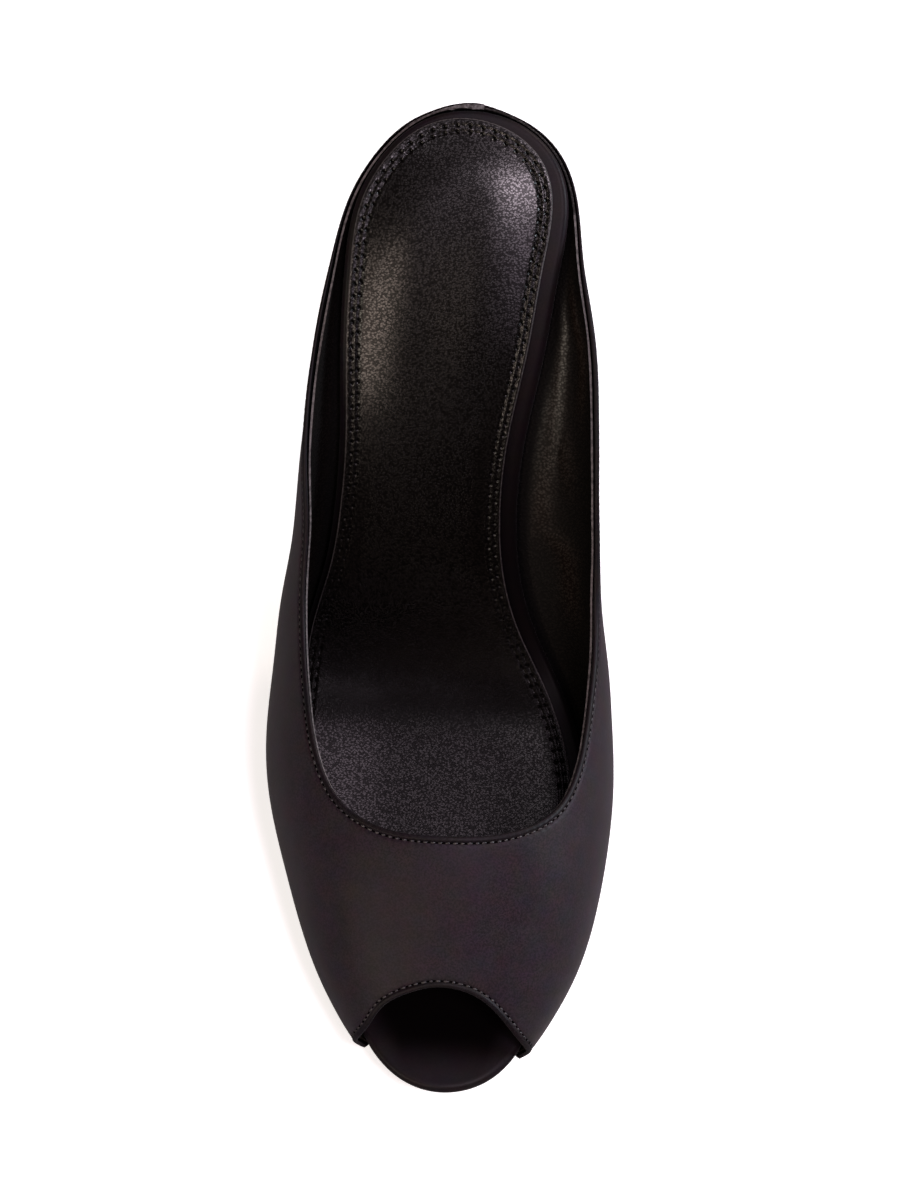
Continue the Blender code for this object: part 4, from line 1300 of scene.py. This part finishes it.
# painted shade from the inner wall: the strip along the inner edge at the ball loses its polish
dull = np.maximum(dull, STRIP_SHADE * inner_edge * at_ball)
grain_depth = 1 - BAND_GRAIN * edge_band - SMOOTH_GRAIN * stretched + BALL_GRAIN * at_ball
grain_depth = grain_depth * (1 - DULL_GRAIN * dull)
sock_marks_on = {"grain_depth": grain_depth, "dull": dull}
sock_worn = np.zeros(sock_loops.shape[:2], dtype=int)[:-1]
rim_cut = np.arange(SOCK_RIM_STEPS, 2 * SOCK_RIM_STEPS - 1)   # the upper rounding shows cut leather
sock_worn[:, rim_cut] = 1
sock_worn[:, -1 - UNDER_STEPS - rim_cut] = 1
sock_finishes = [sock_leather, cut_sock]
bent_piece("leather_sock", sock_loops, sock_finishes, "sock", sock_worn, sock_marks_on)

# %% Threads and holes of the sock
SOCK_THREAD = 0.45           # size beside the thread of the upper
SOCK_STITCH_SINK = 1.0       # of the thread's height, so that little of it shows
HOLE_SINK = 0.6              # of a dimple's depth

sock_rows = []
for line, marks in zip(sock_lines, sock_marks):
    along = line[:, 1] / SOLE_LENGTH
    slope = slope_at(along)
    square = np.stack([0 * slope, -np.sin(slope), np.cos(slope)], axis=-1)
    lift = SOCK_LOW + SOCK_THICK - SEAM_SINK + waves(line, *FOAM_WAVES)
    bent_line = (bend(line[:, 0], along, lift), square)
    sock_rows.append((bent_line, marks))
    name = f"sock_stitches_{len(sock_rows)}"
    stitch_row(name, bent_line, marks, sock_leather, SOCK_STITCH_SINK, SOCK_THREAD)
hole_row("sock_holes", sock_rows, SOCK_HOLE, HOLE_SINK * DIMPLE_DEPTH)

# %% [markdown]
# ## The outsole
# A dress shoe's outsole is thin leather, cut a little inside the upper so that its edge hardly shows. It is
# thicker under the open toe, where there is no upper between it and the insole, and it ends at the breast
# of the heel.

# %% Outsole
OUTSOLE_INSET = 1.6 * MM
BREAST = 0.80                # where the outsole ends and the heel starts
BREAST_GAP = 0.7 * MM
TOE_STEP = (0.022, 0.034)    # stations between which the outsole steps down under the upper
OUTSOLE_ROWS = 300
OUTSOLE_ACROSS = 18
OUTSOLE_BAND = np.arange(0.5, 4.1, 0.6) * MM
OUTSOLE_LOWER = 0.6 * MM     # roundings of its rim
OUTSOLE_UPPER = 0.25 * MM

outsole_places = np.linspace(0, float(place_of(BREAST - BREAST_GAP / SOLE_LENGTH)), OUTSOLE_ROWS + 1)
outsole_edges = {side: np.full(OUTSOLE_ROWS + 1, OUTSOLE_INSET) for side in (LATERAL, MEDIAL)}
outsole_rim = rim_profile(OUTSOLE_THICK, OUTSOLE_LOWER, OUTSOLE_UPPER, OUTSOLE_BAND)
outsole_loops, _ = flat_sheet(outsole_places, outsole_edges, outsole_rim, OUTSOLE_ACROSS)
under_upper = np.clip((outsole_loops[..., 1] - TOE_STEP[0]) / (TOE_STEP[1] - TOE_STEP[0]), 0, 1)
outsole_low = -UNDER_MARGIN - OUTSOLE_THICK
outsole_high = -GAP - (UNDER_MARGIN - GAP) * under_upper
outsole_loops[..., 2] *= (outsole_high - outsole_low) / OUTSOLE_THICK
outsole_loops[..., 2] += outsole_low
bent_piece("leather_outsole", outsole_loops, [sole_leather], "outsole")

# %% [markdown]
# ## The covered heel
# The heel is a block that narrows to a slim stem, with the same satin glued round it. It is lofted: the rim
# of the seat is carried down level by level, and a table gives the depth and width at each level. The
# corners at the breast are eased first, because cloth can't turn a knife edge.

# %% Heel
HEEL = table(
    "down depth width forward",
    (0.00, 1.00, 1.00, 0.00), (0.06, 0.88, 0.93, 0.00), (0.14, 0.72, 0.80, 0.02), (0.25, 0.56, 0.61, 0.06),
    (0.40, 0.41, 0.42, 0.12), (0.58, 0.31, 0.30, 0.18), (0.78, 0.26, 0.25, 0.22), (1.00, 0.24, 0.23, 0.24),
)
SEAT_OVERHANG = 0.8 * MM
SEAT_STEPS = 90
BREAST_STEPS = 40
BREAST_EASING = 5
HEEL_LEVELS = 70
FIRST_LEVEL = 0.012
LEVEL_CROWDING = 1.35
SEAT_RINGS = (0.15, 0.4, 0.65, 0.85, 0.94, 0.985)


def seat_rim():
    """Closed flat rim of the seat: along the outer side, back along the inner side and across the breast."""
    place = np.linspace(float(place_of(BREAST)), 1, SEAT_STEPS)
    sides = [np.stack(outline(side, place, -SEAT_OVERHANG)[:2], axis=-1) for side in (LATERAL, MEDIAL)]
    share = np.linspace(0, 1, BREAST_STEPS + 1)[1:-1, None]
    breast = sides[1][0] * (1 - share) + sides[0][0] * share
    rim = np.concatenate([sides[0], sides[1][-2::-1], breast])
    for _ in range(BREAST_EASING):
        rim = rim / 2 + (np.roll(rim, 1, axis=0) + np.roll(rim, -1, axis=0)) / 4
    return rim


def heel_level(rim, down, bottom):
    """The seat's rim carried down the heel to one level."""
    depth, width, forward = [spline(HEEL["down"], HEEL[name], down) for name in ("depth", "width", "forward")]
    back = rim[:, 1].max()
    seat_depth = back - rim[:, 1].min()
    middle = (rim[:, 0].max() + rim[:, 0].min()) / 2
    x = middle + (rim[:, 0] - middle) * width
    y = back - forward * seat_depth - (back - rim[:, 1]) * depth
    return np.stack([x, y, rim[:, 2] * (1 - down) + bottom * down], axis=-1)


flat_rim = seat_rim()
rim_middle = flat_rim.mean(axis=0)
seat_rings = [rim_middle + (flat_rim - rim_middle) * size for size in SEAT_RINGS]
heel_rows = [bend(*seat_ring.T, -UNDER_MARGIN) for seat_ring in seat_rings]
seat = bend(*flat_rim.T, -UNDER_MARGIN)
for down in np.linspace(FIRST_LEVEL, 1, HEEL_LEVELS) ** LEVEL_CROWDING:
    heel_rows.append(heel_level(seat, down, LIFT_THICK + GAP))
heel_rows = np.array(heel_rows)
heel_faces = grid_faces(*heel_rows.shape[:2], False, True)
add_piece("covered_heel", heel_rows, heel_faces, [upper_satin], ["heel"])

# %% Top lift
LIFT_ROUNDING = 0.4 * MM

tip = heel_level(seat, 1.0, 0.0)
tip_middle = tip.mean(axis=0)
shrunk = tip_middle + (tip - tip_middle) * (1 - LIFT_ROUNDING / np.ptp(tip[:, 0]) * 2)
lift_levels = ((shrunk, 0.0), (tip, LIFT_ROUNDING), (tip, LIFT_THICK - LIFT_ROUNDING), (shrunk, LIFT_THICK))
lift_rows = np.array([loop * (1, 1, 0) + (0, 0, height) for loop, height in lift_levels])
lift_faces = grid_faces(*lift_rows.shape[:2], False, True)
add_piece("heel_lift", lift_rows, lift_faces, [rubber], ["top_lift"])

# %% [markdown]
# ## Floor, light and camera
# A black shoe shows almost nothing but what it reflects, so the room stays dim and a few soft panels stand
# where the shoe should mirror them: low ones on both sides for the flanks, and small ones in front for the
# shine on the heel seat. The floor glows a little, so that it reads as white paper with a faint shadow. The
# camera looks steeply down from the toe's side with a long lens, as in a catalogue picture.

# %% Floor
FLOOR_HALF = 3.0
PAPER = (0.9, 0.9, 0.9, 1)
PAPER_GLOW = 0.6

floor_mesh = bpy.data.meshes.new("floor")
corners = [(-FLOOR_HALF, -FLOOR_HALF, 0), (FLOOR_HALF, -FLOOR_HALF, 0), (FLOOR_HALF, FLOOR_HALF, 0),
           (-FLOOR_HALF, FLOOR_HALF, 0)]
floor_mesh.from_pydata(corners, [], [(0, 1, 2, 3)])
floor = bpy.data.objects.new("floor", floor_mesh)
bpy.context.scene.collection.objects.link(floor)
paper_values = {"Base Color": PAPER, "Roughness": 0.9, "Emission Color": (1, 1, 1, 1)}
paper, _ = start_finish("paper", {**paper_values, "Emission Strength": PAPER_GLOW})
floor_mesh.materials.append(paper)
floor.visible_glossy = False

# %% Light
PANELS = table(
    "x y z width depth watts red green blue",
    (1.20, 0.10, 0.50, 0.50, 0.45, 13.0, 0.82, 0.90, 1.00),
    (0.87, 0.87, 0.62, 0.50, 0.50, 9.0, 1.00, 0.85, 0.78),
    (0.33, 0.33, 1.32, 0.50, 0.50, 3.0, 1.00, 0.80, 0.95),
    (-0.90, -0.80, 0.62, 0.50, 0.50, 4.4, 1.00, 0.89, 0.74),
    (-0.22, 0.12, 1.35, 0.20, 0.20, 0.7, 1.00, 0.88, 0.95),
    (-0.36, -0.95, 0.87, 0.16, 0.80, 3.8, 1.00, 0.80, 0.68),
    (0.36, -0.62, 1.00, 0.18, 0.70, 1.4, 1.00, 0.82, 1.00),
    (0.28, -0.34, 1.22, 0.16, 0.30, 4.8, 1.00, 0.84, 0.95),
)
AIM = Vector((0, 0, 0.05))
ROOM = 0.02

for row in range(len(PANELS["x"])):
    panel = {name: float(column[row]) for name, column in PANELS.items()}
    light = bpy.data.lights.new(f"panel_{row + 1}", "AREA")
    light.shape = "RECTANGLE"
    light.size = panel["width"]
    light.size_y = panel["depth"]
    light.energy = panel["watts"]
    light.color = (panel["red"], panel["green"], panel["blue"])
    lamp = bpy.data.objects.new(light.name, light)
    lamp.location = (panel["x"], panel["y"], panel["z"])
    lamp.rotation_euler = (AIM - lamp.location).to_track_quat("-Z", "Y").to_euler()
    bpy.context.scene.collection.objects.link(lamp)
room = bpy.data.worlds.new("room")
room.use_nodes = True
room.node_tree.nodes["Background"].inputs["Strength"].default_value = ROOM
room.node_tree.nodes["Background"].inputs["Color"].default_value = (1, 1, 1, 1)
bpy.context.scene.world = room
bpy.context.scene.view_settings.view_transform = "Standard"

# %% Camera
ELEVATION = math.radians(75.0)
AZIMUTH = math.radians(-2.2)
DISTANCE = 1.7
PICTURE_HEIGHT = 0.281       # of what the picture takes in at the shoe
PICTURE_MIDDLE = (1.2 * MM, 1.6 * MM)   # right of and above the point below
AIMED_AT = Vector((0, 0, 45 * MM))

ahead = Vector((math.sin(AZIMUTH) * math.cos(ELEVATION), math.cos(AZIMUTH) * math.cos(ELEVATION),
                -math.sin(ELEVATION)))
right = Vector((math.cos(AZIMUTH), -math.sin(AZIMUTH), 0))
up = right.cross(ahead)
camera_data = bpy.data.cameras.new("camera")
camera_data.lens = camera_data.sensor_width * DISTANCE / PICTURE_HEIGHT
camera = bpy.data.objects.new("camera", camera_data)
camera.matrix_world = Matrix((right, up, -ahead)).transposed().to_4x4()
camera.location = AIMED_AT + right * PICTURE_MIDDLE[0] + up * PICTURE_MIDDLE[1] - ahead * DISTANCE
bpy.context.scene.collection.objects.link(camera)
bpy.context.scene.camera = camera
print(f"lens {camera_data.lens:.0f} mm")

# %% The pieces on the frame
bpy.context.view_layer.update()
print(len(pieces), "pieces dress the frame")
